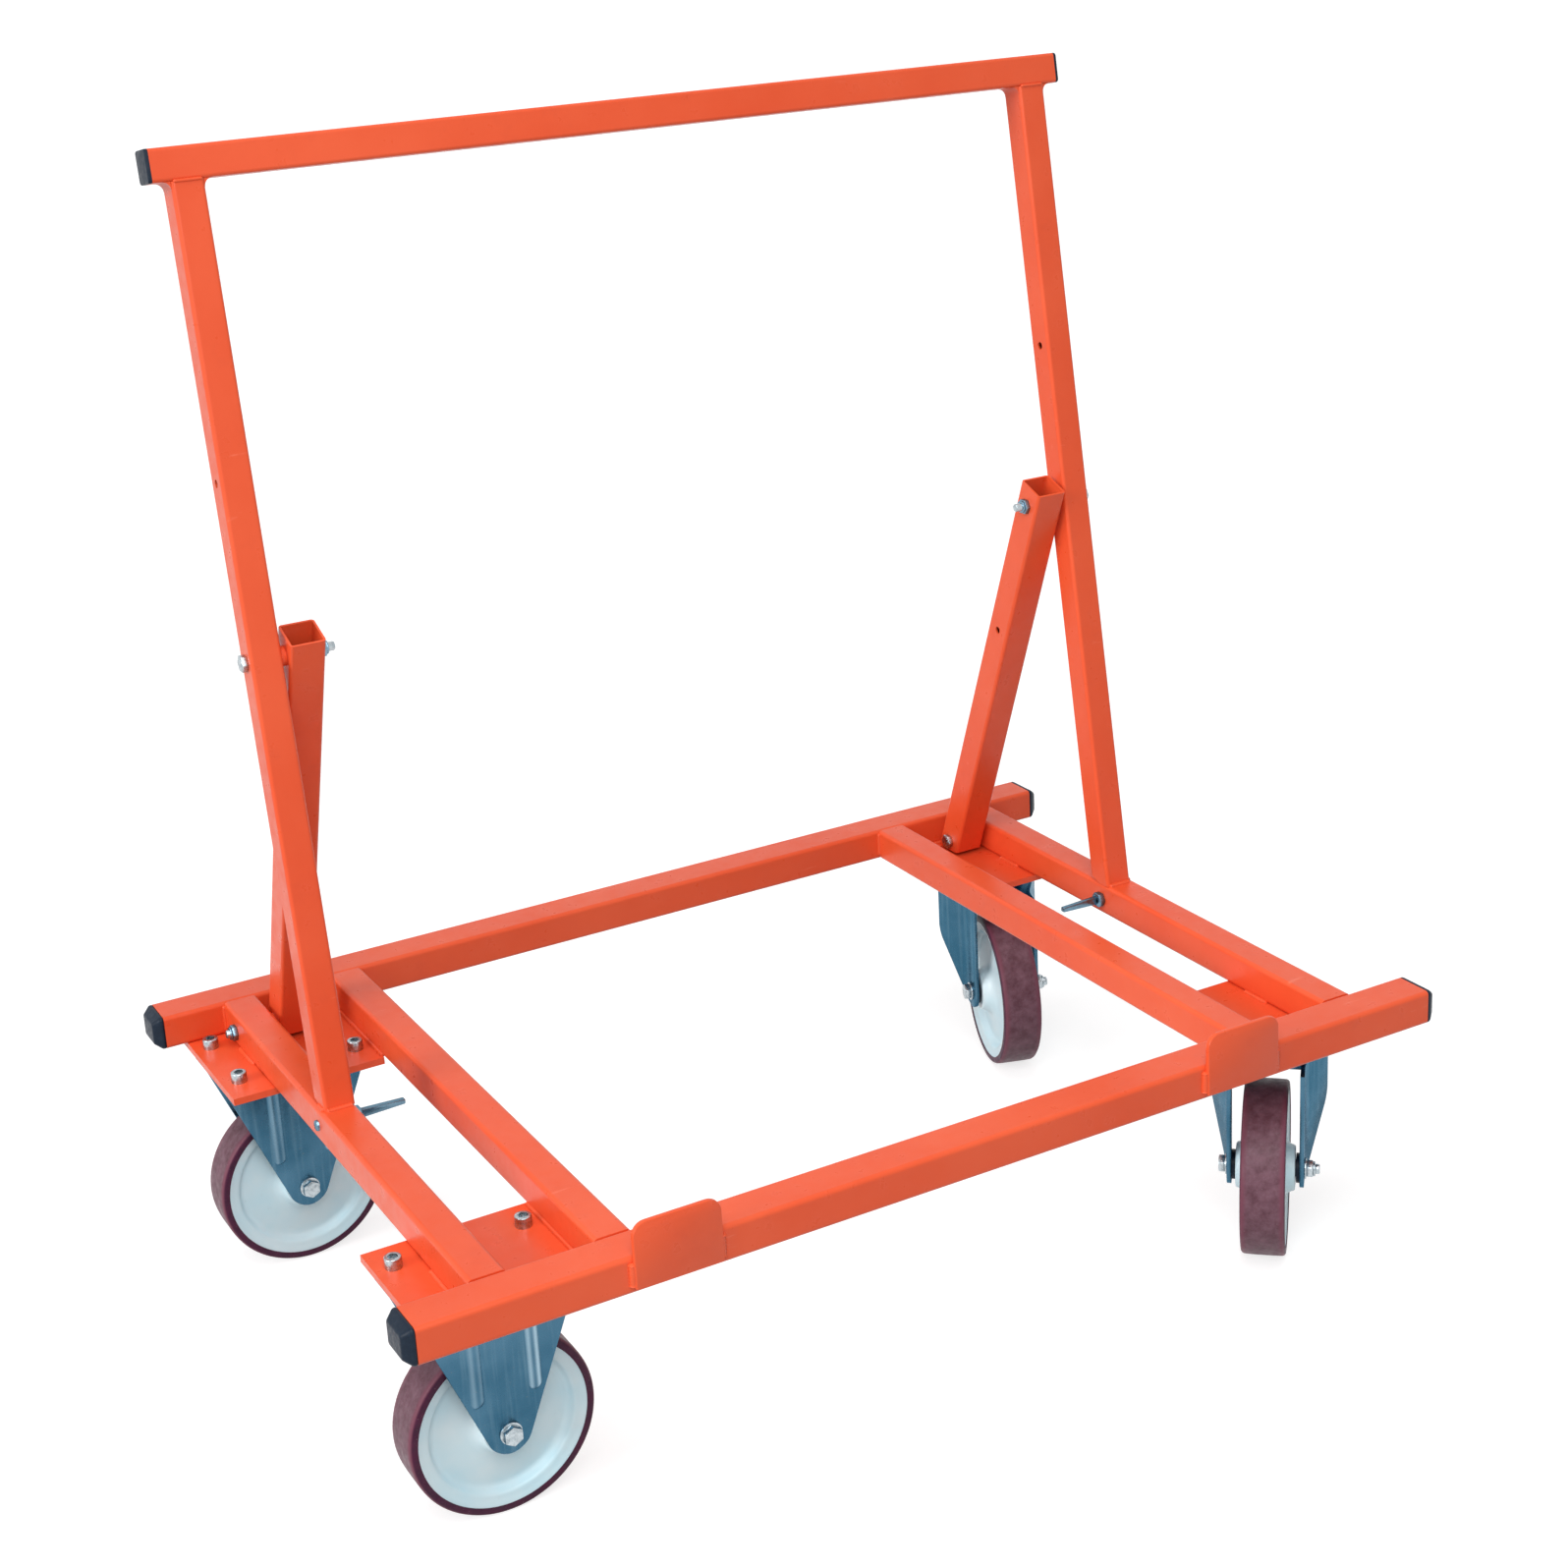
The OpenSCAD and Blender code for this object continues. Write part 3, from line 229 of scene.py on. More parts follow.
def orange_paint():
    """Gloss powder coat: slow tone drift, orange peel, faint rubbed marks along the tubes."""
    mat, shader, where, add, link = finish_named("orange powder coat")
    drift = patches(add, link, where, scale=5.0, limits=(0.3, 0.7))
    tone = blend_colours(add, link, drift, PAINT_DEEP, PAINT_LIGHT)
    along = stretched(add, link, where, PAINT_MARK_STRETCH)
    rubbed = patches(add, link, along, scale=1.0, limits=(0.66, 0.74), detail=6.0, rough=0.7)
    tone = blend_colours(add, link, rubbed, tone, PAINT_RUBBED)
    grime = patches(add, link, where, scale=22.0, limits=(0.58, 0.8), out=(0.0, 0.16), detail=6.0, rough=0.65)
    tone = blend_colours(add, link, grime, tone, PAINT_GRIME)
    coat(link, shader, tone, patches(add, link, where, scale=60.0, limits=(0.3, 0.75), out=(0.26, 0.42)))
    peel = cloud(add, link, where, scale=300.0, detail=2.0)
    raised(add, link, peel, shader, strength=0.05, distance=0.0006)
    shader.inputs["Specular IOR Level"].default_value = 0.28
    return mat


def blue_zinc():
    """Blue passivated zinc on pressed steel: slow cloudy tints, faint drawing marks, painted highlights on
    the rib flanks and a paler tint on marked nuts and pins.
    """
    mat, shader, where, add, link = finish_named("blue zinc plate")
    tint = patches(add, link, where, scale=13.0, limits=(0.32, 0.7), detail=3.0)
    tone = blend_colours(add, link, tint, ZINC_DARK, ZINC_LIGHT)
    upright = stretched(add, link, where, DRAWING_STRETCH)
    drawn = patches(add, link, upright, scale=1.0, limits=(0.5, 0.8), out=(0.0, 0.3), detail=2.0)
    tone = blend_colours(add, link, drawn, tone, ZINC_DRAWN)
    spots = patches(add, link, where, scale=260.0, limits=(0.68, 0.76), out=(0.0, 0.4), detail=3.0)
    tone = blend_colours(add, link, spots, tone, ZINC_SPOT)
    # Painted highlights on the rib flanks, and a paler tint on the marked nuts and pins
    pale_tint_and_highlight = add("ShaderNodeAttribute", attribute_name="pale_tint_and_highlight").outputs["Fac"]
    tone = blend_colours(add, link, pale_tint_and_highlight, tone, ZINC_PALE_AND_HIGHLIGHT)
    coat(link, shader, tone, patches(add, link, where, scale=90.0, limits=(0.3, 0.7), out=(0.2, 0.34)))
    grain = cloud(add, link, where, scale=420.0, detail=3.0)
    raised(add, link, grain, shader, strength=0.05, distance=0.0003)
    shader.inputs["Metallic"].default_value = 0.92
    shader.inputs["Specular Tint"].default_value = (*ZINC_SHEEN, 1)
    return mat


def bright_zinc():
    """Bright plated fasteners with a little grey in patches."""
    mat, shader, where, add, link = finish_named("bright zinc plate")
    dull = patches(add, link, where, scale=240.0, limits=(0.45, 0.72))
    tone = blend_colours(add, link, dull, BRIGHT_CLEAN, BRIGHT_DULL)
    coat(link, shader, tone, patches(add, link, where, scale=500.0, limits=(0.3, 0.7), out=(0.2, 0.36)))
    grain = cloud(add, link, where, scale=900.0, detail=2.0)
    raised(add, link, grain, shader, strength=0.06, distance=0.0003)
    shader.inputs["Metallic"].default_value = 1.0
    return mat


def black_caps():
    """Black moulded plastic with fine grain and pale dust."""
    mat, shader, where, add, link = finish_named("black cap plastic")
    dust = patches(add, link, where, scale=120.0, limits=(0.5, 0.82), out=(0.0, 0.5), detail=6.0, rough=0.7)
    tone = blend_colours(add, link, dust, CAP_BLACK, CAP_DUST)
    coat(link, shader, tone, patches(add, link, where, scale=200.0, limits=(0.3, 0.7), out=(0.34, 0.55)))
    grain = cloud(add, link, where, scale=1500.0, detail=2.0)
    raised(add, link, grain, shader, strength=0.15, distance=0.0003)
    shader.inputs["Specular IOR Level"].default_value = 0.2
    return mat


def tyre_polyurethane():
    """Dark red-brown polyurethane: mauve and scuffed on the tread, with a painted highlight of lighter
    pinkish red at the shoulders.
    """
    mat, shader, where, add, link = finish_named("red brown polyurethane")
    shoulder = add("ShaderNodeAttribute", attribute_name="shoulder").outputs["Fac"]
    scuff = patches(add, link, where, scale=75.0, limits=(0.35, 0.7), detail=7.0, rough=0.7)
    tread = blend_colours(add, link, scuff, TREAD_DARK, TREAD_SCUFFED)
    sides = blend_colours(add, link, scuff, SIDE_DARK, SIDE_SCUFFED)
    # Painted highlight: a lighter pinkish red band at the shoulders
    tone = blend_colours(add, link, band(add, link, shoulder, 0.3, 0.75), tread, SHOULDER_HIGHLIGHT)
    tone = blend_colours(add, link, band(add, link, shoulder, 0.86, 0.98), tone, sides)
    grit = patches(add, link, where, scale=520.0, limits=(0.68, 0.76), out=(0.0, 0.55), detail=3.0)
    tone = blend_colours(add, link, grit, tone, TREAD_GRIT)
    coat(link, shader, tone, patches(add, link, where, scale=140.0, limits=(0.3, 0.7), out=(0.38, 0.6)))
    pores = cloud(add, link, where, scale=380.0, detail=4.0)
    raised(add, link, pores, shader, strength=0.14, distance=0.0005)
    shader.inputs["Specular IOR Level"].default_value = 0.25
    return mat


def wheel_polyamide():
    """Pale, slightly bluish moulded nylon with faint flow marks and rubbed dirt."""
    mat, shader, where, add, link = finish_named("white wheel nylon")
    flow = patches(add, link, where, scale=16.0, limits=(0.3, 0.7), detail=3.0)
    tone = blend_colours(add, link, flow, NYLON_BLUE, NYLON_PALE)
    dirt = patches(add, link, where, scale=85.0, limits=(0.62, 0.82), out=(0.0, 0.25), detail=6.0, rough=0.72)
    tone = blend_colours(add, link, dirt, tone, NYLON_DIRT)
    coat(link, shader, tone, patches(add, link, where, scale=70.0, limits=(0.3, 0.7), out=(0.3, 0.45)))
    grain = cloud(add, link, where, scale=700.0, detail=2.0)
    raised(add, link, grain, shader, strength=0.06, distance=0.0004)
    shader.inputs["Subsurface Weight"].default_value = 0.08
    shader.inputs["Subsurface Radius"].default_value = (0.01, 0.01, 0.01)
    return mat


def plain_steel():
    """Ground bearing steel."""
    mat, shader, where, add, link = finish_named("bearing steel")
    grain = patches(add, link, where, scale=300.0, limits=(0.35, 0.7), detail=3.0)
    tone = blend_colours(add, link, grain, STEEL_DARK, STEEL_LIGHT)
    coat(link, shader, tone, patches(add, link, where, scale=420.0, limits=(0.3, 0.7), out=(0.24, 0.4)))
    shader.inputs["Metallic"].default_value = 1.0
    return mat


PAINT, ZINC, BRIGHT, BLACK = orange_paint(), blue_zinc(), bright_zinc(), black_caps()
TYRE, NYLON, STEEL = tyre_polyurethane(), wheel_polyamide(), plain_steel()
SLOT_FINISH = {"orange_paint": PAINT, "blue_zinc": ZINC, "bright_zinc": BRIGHT, "black_plastic": BLACK,
               "black_bush": BLACK, "polyurethane": TYRE, "white_polyamide": NYLON, "bearing_steel": STEEL}

for subpart in frame["record"]["subparts"]:
    solid = frame["nodes"][subpart["node"]]
    solid.data.materials.clear()
    solid.data.materials.append(SLOT_FINISH[subpart["material_slot"]])


# Shapes

def moved(x=0.0, y=0.0, z=0.0):
    return Matrix.Translation((x, y, z))


def turned(angle, axis):
    return Matrix.Rotation(angle, 4, axis)


def put(target, part, *places):
    """Copies a shape into a piece, once at each place, and frees the shape."""
    mesh = bpy.data.meshes.new("shape")
    part.to_mesh(mesh)
    part.free()
    for place in places or (Matrix(),):
        copy = mesh.copy()
        copy.transform(place)
        if place.determinant() < 0:
            copy.flip_normals()
        target.from_mesh(copy)
        bpy.data.meshes.remove(copy)
    bpy.data.meshes.remove(mesh)


def piece(name, bm, body, slot, stands_for=(), sharp=35, rubbed=0.0):
    """Makes a shape an object that rides on a body, in place of the nodes it stands for."""
    mesh = bpy.data.meshes.new(name)
    bm.to_mesh(mesh)
    bm.free()
    mesh.shade_smooth()
    mesh.set_sharp_from_angle(angle=radians(sharp))
    mesh.materials.append(SLOT_FINISH[slot])
    thing = bpy.data.objects.new(name, mesh)
    bpy.context.collection.objects.link(thing)
    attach(thing, body)
    if stands_for:
        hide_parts(*stands_for)
    if rubbed:
        pale_tint_and_highlight = mesh.attributes.new("pale_tint_and_highlight", "FLOAT", "POINT")
        for point in pale_tint_and_highlight.data:
            point.value = rubbed
    return thing


def new_verts(made):
    """The vertices among what an operator has made."""
    return [g for g in made["geom"] if isinstance(g, bmesh.types.BMVert)]


def new_edges(made):
    """The edges among what an operator has made."""
    return [g for g in made["geom"] if isinstance(g, bmesh.types.BMEdge)]


def whole(bm):
    """Everything that a cut goes through."""
    return bm.verts[:] + bm.edges[:] + bm.faces[:]


def tidy(bm):
    """Merges doubles and turns the faces outwards."""
    bmesh.ops.remove_doubles(bm, verts=bm.verts, dist=MERGE)
    bmesh.ops.recalc_face_normals(bm, faces=bm.faces)
    return bm


def round_edges(bm, edges, width, segments, clamp=False):
    bmesh.ops.bevel(bm, geom=edges, offset=width, offset_type="OFFSET", affect="EDGES", segments=segments,
                    profile=0.5, material=-1, clamp_overlap=clamp)


def soften(bm, width, segments=2, angle=40):
    """Rounds every edge that is sharper than the angle."""
    sharp = [e for e in bm.edges if e.is_manifold and e.calc_face_angle() > radians(angle)]
    round_edges(bm, sharp, width, segments, clamp=True)
    return bm


def lathe(profile, steps):
    """Spins a closed profile of (radius, height) points once round Z."""
    bm = bmesh.new()
    verts = [bm.verts.new((r, 0, z)) for r, z in profile]
    edges = [bm.edges.new(pair) for pair in zip(verts, verts[1:] + verts[:1])]
    bmesh.ops.spin(bm, geom=verts + edges, cent=(0, 0, 0), axis=(0, 0, 1), angle=2 * pi, steps=steps,
                   use_merge=True)
    return tidy(bm)


def sheet(corners, thickness, rounds=(), steps=8, edge=SHEET_EDGE, fold=None):
    """A flat plate in XY from its corners; rounds gives (corner, distance along its edges)."""
    bm = bmesh.new()
    verts = [bm.verts.new((x, y, 0)) for x, y in corners]
    bm.faces.new(verts)
    for index, reach in rounds:
        bmesh.ops.bevel(bm, geom=[verts[index]], offset=reach, offset_type="OFFSET", affect="VERTICES",
                        segments=steps, profile=0.5, material=-1, clamp_overlap=False)
        bm.verts.ensure_lookup_table()
    bmesh.ops.remove_doubles(bm, verts=bm.verts, dist=MERGE)
    if fold:
        fold(bm)
    thick = bmesh.ops.extrude_face_region(bm, geom=bm.faces[:])
    bmesh.ops.translate(bm, verts=new_verts(thick), vec=(0, 0, thickness))
    bmesh.ops.recalc_face_normals(bm, faces=bm.faces)
    return soften(bm, edge) if edge else bm


def oblong(half_x, low_y, high_y):
    """The corners of an oblong, from its lower left one."""
    return [(-half_x, low_y), (half_x, low_y), (half_x, high_y), (-half_x, high_y)]


def stood_up(bm, y, z):
    """Turns a flat sheet upright and moves it to its place."""
    bmesh.ops.rotate(bm, verts=bm.verts, cent=(0, 0, 0), matrix=Matrix.Rotation(pi / 2, 3, "X"))
    bmesh.ops.translate(bm, verts=bm.verts, vec=(0, y, z))
    return bm


def disc(radius, height, z=0.0, steps=ROUND_STEPS, edge=SHEET_EDGE):
    bm = bmesh.new()
    bmesh.ops.create_cone(bm, cap_ends=True, segments=steps, radius1=radius, radius2=radius, depth=height,
                          matrix=moved(z=z + height / 2))
    return soften(bm, edge) if edge else bm


def hexagon(flats, height, z=0.0, edge=HEX_EDGE):
    """A hexagon head or nut with broken edges."""
    return disc(flats / 2 / cos(pi / 6), height, z, 6, edge)


def rounded_bar(length, width, height, corner, edge):
    """A block along X from zero, round on its long edges and on its far end."""
    bm = bmesh.new()
    size = Matrix.Diagonal((length, width, height, 1))
    bmesh.ops.create_cube(bm, size=1.0, matrix=moved(x=length / 2) @ size)
    long_edges = [e for e in bm.edges if abs((e.verts[0].co - e.verts[1].co).x) > length / 2]
    round_edges(bm, long_edges, corner, 5)
    far = [e for e in bm.edges if min(v.co.x for v in e.verts) > length - SLACK]
    round_edges(bm, far, edge, 5)
    return tidy(bm)


def weld(start, end, radius):
    """A rippled bead between two points."""
    start, end = Vector(start), Vector(end)
    run = end - start
    count = max(3, round(run.length / BEAD_PITCH))
    bm = bmesh.new()
    bmesh.ops.create_circle(bm, cap_ends=False, segments=BEAD_STEPS, radius=radius * BEAD_END_SHARE)
    ring = bm.edges[:]
    bmesh.ops.contextual_create(bm, geom=ring)
    for step in range(1, 2 * count + 1):
        made = bmesh.ops.extrude_edge_only(bm, edges=ring)
        verts, ring = new_verts(made), new_edges(made)
        now = radius * (BEAD_END_SHARE if step == 2 * count else 1.0 if step % 2 else BEAD_DIP_SHARE)
        before = radius * (BEAD_END_SHARE if step == 1 else BEAD_DIP_SHARE if step % 2 else 1.0)
        bmesh.ops.scale(bm, verts=verts, vec=(now / before, now / before, 1))
        bmesh.ops.translate(bm, verts=verts, vec=(0, 0, run.length / (2 * count)))
    bmesh.ops.contextual_create(bm, geom=ring)
    bmesh.ops.recalc_face_normals(bm, faces=bm.faces)
    along_run = run.to_track_quat("Z", "Y").to_matrix().to_4x4()
    bmesh.ops.transform(bm, verts=bm.verts, matrix=moved(*start) @ along_run)
    return bm


def weld_fillet(radius, length):
    """A smooth hollow fillet that fills the corner below Z 0 and past X 0, centred along Y."""
    bm = bmesh.new()
    start = bm.verts.new((radius, -length / 2, 0))
    bmesh.ops.spin(bm, geom=[start], cent=(radius, 0, -radius), axis=(0, 1, 0), angle=-pi / 2, steps=8)
    bm.verts.new((0, -length / 2, 0))
    face = bm.faces.new(bm.verts)
    grown = bmesh.ops.extrude_face_region(bm, geom=[face])
    bmesh.ops.translate(bm, verts=new_verts(grown), vec=(0, length, 0))
    return tidy(bm)


# Places

MIRROR_X, MIRROR_Y = Matrix.Diagonal((-1, 1, 1, 1)), Matrix.Diagonal((1, -1, 1, 1))
ENDS = {"front": -1, "rear": 1}


def swivel_place(end):
    """The swivel axis on the floor, X towards the axle."""
    return moved(SWIVEL_X, ENDS[end] * CASTER_Y) @ turned(HEADINGS[end], "Z")


def wheel_place(end, side):
    """The middle of a wheel, Z along its axle."""
    if side == "left":
        return moved(-FIXED_X, ENDS[end] * CASTER_Y, AXLE) @ turned(pi / 2, "X")
    return swivel_place(end) @ moved(TRAIL, 0, AXLE) @ turned(pi / 2, "X")


def along_x(x, y, z):
    """A point, with the Z of a bolt turned to run along +X."""
    return moved(x, y, z) @ turned(pi / 2, "Y")


# Wheels, by the outer half of each profile as (radius, height)

# Tread with round shoulders and a slight crown
TYRE_PROFILE = [
    (RIM_R, TREAD_HALF), (0.0955, TREAD_HALF), (0.0972, 0.0248), (0.0987, 0.0236), (0.0996, 0.0218),
    (0.09985, 0.018), (WHEEL_R, 0.01)]

# Hub, dished disc with a soft step, and rim
CENTRE_PROFILE = [
    (0.0152, 0.0335), (0.0246, 0.0335), (0.0258, 0.0324), (0.0268, 0.0295), (0.029, 0.0245),
    (0.0325, 0.0205), (0.038, 0.0182), (0.046, 0.0172), (0.056, 0.0162), (0.064, 0.0145),
    (0.0695, 0.0128), (0.0725, 0.0125), (0.0745, 0.0134), (0.0762, 0.0156), (0.0774, 0.0186),
    (0.0786, 0.0206), (0.0802, 0.0216), (0.083, 0.0219), (0.0865, 0.0226), (0.0895, 0.0238), (RIM_R, 0.024)]


def both_faces(half):
    """A wheel shape that is the same on both of its faces."""
    return lathe(half + [(r, -z) for r, z in reversed(half)], WHEEL_STEPS)


def mark_shoulder(tyre, place):
    """Marks how far each point of a tyre lies towards its shoulders."""
    shoulder = tyre.data.attributes.new("shoulder", "FLOAT", "POINT")
    back = place.inverted()
    for vert in tyre.data.vertices:
        share = (abs((back @ vert.co).z) - SHOULDER_START) / SHOULDER_RUN
        shoulder.data[vert.index].value = min(1.0, max(0.0, share))


def make_wheel(end, side):
    name = f"{end}_{side}"
    body = f"{name}_roller"
    place = wheel_place(end, side)
    rubber = bmesh.new()
    put(rubber, both_faces(TYRE_PROFILE), place)
    tyre = piece(f"{name}_tread", rubber, body, "polyurethane", [f"{name}_tyre"], sharp=60)
    mark_shoulder(tyre, place)
    nylon = bmesh.new()
    put(nylon, both_faces(CENTRE_PROFILE), place)
    piece(f"{name}_wheel_centre", nylon, body, "white_polyamide", [f"{name}_wheel"], sharp=50)


for end in ENDS:
    for side in ("left", "right"):
        make_wheel(end, side)


# Axles: head, washers, nut and thread end

def axle_shape(face):
    """Bolt with its washer against the front face of the legs, hexagon head and shank."""
    bm = bmesh.new()
    head = face + WASHER_THICK
    put(bm, disc(WASHER_R, WASHER_THICK, face))
    put(bm, hexagon(AXLE_FLATS, AXLE_HEAD, head, BIG_HEX_EDGE))
    crown = head + AXLE_HEAD + BOLT_CROWN_STAND - BOLT_CROWN
    put(bm, disc(AXLE_CROWN_R, BOLT_CROWN, crown, SHANK_STEPS, BOLT_CROWN_EDGE))
    put(bm, disc(AXLE_R, 2 * face, -face, SHANK_STEPS, 0))
    return bm


def axle_nut_shape(face):
    """Washer, hexagon and collar of a lock nut, and the thread end that stands out of it."""
    bm = bmesh.new()
    nut = -face - WASHER_THICK - AXLE_NUT
    put(bm, disc(WASHER_R, WASHER_THICK, -face - WASHER_THICK))
    put(bm, hexagon(AXLE_FLATS, AXLE_NUT, nut, BIG_HEX_EDGE))
    put(bm, disc(AXLE_COLLAR_R, AXLE_COLLAR, nut - AXLE_COLLAR, SHANK_STEPS, NUT_COLLAR_EDGE))
    put(bm, disc(THREAD_R, THREAD_LENGTH, -face - THREAD_REACH, SHANK_STEPS, THREAD_EDGE))
    return bm


def axle_pieces(name, body, face, places, bolt_nodes, nut_nodes):
    bolts, nuts = bmesh.new(), bmesh.new()
    put(bolts, axle_shape(face), *places)
    put(nuts, axle_nut_shape(face), *places)
    piece(f"{name}_bolt_heads", bolts, body, "bright_zinc", bolt_nodes)
    piece(f"{name}_lock_nuts", nuts, body, "bright_zinc", nut_nodes)


axle_pieces("fixed_axle", "frame", FIXED_OUT, [wheel_place(end, "left") for end in ENDS],
            ["fixed_axle_bolts"], ["fixed_axle_nuts"])
for end in ENDS:
    axle_pieces(f"{end}_swivel_axle", f"{end}_right_swivel", SWIVEL_OUT, [wheel_place(end, "right")],
                [f"{end}_right_axle_bolt"], [f"{end}_right_axle_nut"])


# Fixed forks

def fixed_leg():
    """A pressed leg: sloping sides that run into a round end at the axle."""
    rise = TOP_PLATE_BOTTOM - AXLE
    touch = atan2(rise, FIXED_HALF) - acos(FIXED_LOBE / hypot(FIXED_HALF, rise))
    foot = (FIXED_LOBE + FIXED_LOBE * sin(touch)) / cos(touch)
    corners = [(-FIXED_HALF, rise), (-foot, -FIXED_LOBE), (foot, -FIXED_LOBE), (FIXED_HALF, rise)]
    bm = sheet(corners, FIXED_OUT - FIXED_IN, [(1, foot), (2, foot)], 16, FIXED_LEG_EDGE)
    return stood_up(bm, FIXED_OUT, AXLE)


def fixed_rib():
    """An upright pressed rib with a round lower end."""
    bm = bmesh.new()
    bmesh.ops.create_uvsphere(bm, u_segments=RIB_STEPS, v_segments=RIB_RINGS, radius=RIB_R)
    upper = [v for v in bm.verts if v.co.z > SLACK]
    bmesh.ops.translate(bm, verts=upper, vec=(0, 0, TOP_PLATE_BOTTOM - RIB_LOW - RIB_R))
    bmesh.ops.bisect_plane(bm, geom=whole(bm), plane_co=(0, RIB_R - RIB_RISE - RIB_SINK, 0),
                           plane_no=(0, -1, 0), clear_outer=True)
    bmesh.ops.translate(bm, verts=bm.verts, vec=(RIB_X, FIXED_OUT + RIB_RISE - RIB_R, RIB_LOW))
    return bm


# How bright the painted highlights on the ribs are on each side of a fork, stronger at +X where the light
# falls, and where: flank from the middle, and its width
RIGHT_RIB_HIGHLIGHT, LEFT_RIB_HIGHLIGHT = 0.62, 0.22
OUTER_FLANK, OUTER_FLANK_WIDTH = 0.0035, 0.0024
INNER_FLANK, INNER_FLANK_WIDTH, INNER_FLANK_SHARE = 0.0045, 0.0022, 0.7
HIGHLIGHT_FROM, HIGHLIGHT_PAST = 0.0002, 0.0005


def paint_rib_highlights(pressed, place):
    """Marks the flanks of the ribs with painted highlights, stronger on the ribs at +X."""
    pale_tint_and_highlight = pressed.data.attributes.new("pale_tint_and_highlight", "FLOAT", "POINT")
    back = place.inverted()
    for vert in pressed.data.vertices:
        spot = back @ vert.co
        flank = abs(spot.x) - RIB_X
        if FIXED_OUT + HIGHLIGHT_FROM < abs(spot.y) < FIXED_OUT + RIB_RISE + HIGHLIGHT_PAST and abs(flank) < RIB_R:
            outer = exp(-((flank - OUTER_FLANK) / OUTER_FLANK_WIDTH) ** 2)
            inner = exp(-((flank + INNER_FLANK) / INNER_FLANK_WIDTH) ** 2)
            share = RIGHT_RIB_HIGHLIGHT if spot.x > 0 else LEFT_RIB_HIGHLIGHT
            pale_tint_and_highlight.data[vert.index].value = share * min(1.0, outer + INNER_FLANK_SHARE * inner)


def top_plate():
    """A caster's top plate with round corners."""
    bm = sheet(oblong(TOP_PLATE_X, -TOP_PLATE_Y, TOP_PLATE_Y), TOP_PLATE_THICK,
               [(corner, TOP_PLATE_ROUND) for corner in range(4)], 6, PLATE_SHEET_EDGE)
    bmesh.ops.translate(bm, verts=bm.verts, vec=(0, 0, TOP_PLATE_BOTTOM))
    return bm


def leg_bend():
    """The round bend where a leg leaves the top plate."""
    bm = bmesh.new()
    place = moved(0, FIXED_IN + BEND_SET_OUT, TOP_PLATE_BOTTOM) @ turned(pi / 2, "Y")
    bmesh.ops.create_cone(bm, cap_ends=True, segments=SHANK_STEPS, radius1=BEND_R, radius2=BEND_R,
                          depth=2 * FIXED_HALF - BEND_SHORT, matrix=place)
    return bm


for end in ENDS:
    fork = bmesh.new()
    place = moved(-FIXED_X, ENDS[end] * CASTER_Y)
    both = (place, place @ MIRROR_Y)
    put(fork, top_plate(), place)
    put(fork, fixed_leg(), *both)
    put(fork, leg_bend(), *both)
    put(fork, fixed_rib(), *both, place @ MIRROR_X, place @ MIRROR_X @ MIRROR_Y)
    pressed = piece(f"{end}_left_pressed_fork", fork, "frame", "blue_zinc", [f"{end}_left_fork"])
    # Painted highlights along the rib flanks
    paint_rib_highlights(pressed, place)


# Swivel forks

def flare(bm):
    """Bends the front margin of a flat leg outwards in a soft fold."""
    for step in range(-3, 4):
        bmesh.ops.bisect_plane(bm, geom=whole(bm), plane_co=(LEG_FOLD + FOLD_STEP * step, 0, 0),
                               plane_no=(1, 0, 0))
    slope = LEG_FLARE / (LEG_FOLD + LEG_LEAD)
    for vert in bm.verts:
        ahead = LEG_FOLD - vert.co.x
        soft = (ahead + FOLD_SOFT) ** 2 / (4 * FOLD_SOFT)
        vert.co.z -= slope * (max(0.0, ahead) if abs(ahead) > FOLD_SOFT else soft)


def swivel_leg():
    """A leg with a straight trailing edge and a front margin that is bent outwards."""
    run, rise = TRAIL + LEG_LEAD, LEG_KNEE - AXLE
    touch = pi - atan2(rise, run) + acos(SWIVEL_LOBE / hypot(run, rise))
    toe = (SWIVEL_LOBE + SWIVEL_LOBE * sin(touch)) / cos(touch)
    low, tail = AXLE - SWIVEL_LOBE, TRAIL + SWIVEL_LOBE
    corners = [(-LEG_LEAD, CROWN_BOTTOM), (-LEG_LEAD, LEG_KNEE), (TRAIL + toe, low), (tail, low),
               (tail, CROWN_BOTTOM)]
    rounds = [(1, KNEE_ROUND), (2, -toe), (3, SWIVEL_LOBE)]
    bm = sheet(corners, SWIVEL_IN - SWIVEL_OUT, rounds, 12, SWIVEL_LEG_EDGE, flare)
    return stood_up(bm, SWIVEL_IN, 0)


def fork_saddle():
    """The sheet that joins the legs above the wheel."""
    wide, narrow = SWIVEL_IN + LEG_FLARE + SADDLE_LAP, SWIVEL_IN + SADDLE_LAP
    half = [(-LEG_LEAD, wide), (LEG_FOLD, narrow), (SADDLE_TAIL, narrow)]
    corners = [(x, -y) for x, y in half] + half[::-1]
    bm = sheet(corners, CROWN_BOTTOM - SADDLE_BOTTOM, edge=PLATE_SHEET_EDGE)
    bmesh.ops.translate(bm, verts=bm.verts, vec=(0, 0, SADDLE_BOTTOM))
    return bm


# Rolled lip of a swivel head as (radius, height over the saddle), and the hole for the king pin
LIP_PROFILE = [
    (0.0405, 0.0), (0.0435, 0.0007), (0.0462, 0.0026), (0.0477, 0.0052), (0.048, 0.008), (0.048, 0.0115),
    (0.0474, 0.0145), (0.0458, 0.0164)]
LIP_TOP_R, KING_PIN_HOLE_R = 0.0438, 0.0082


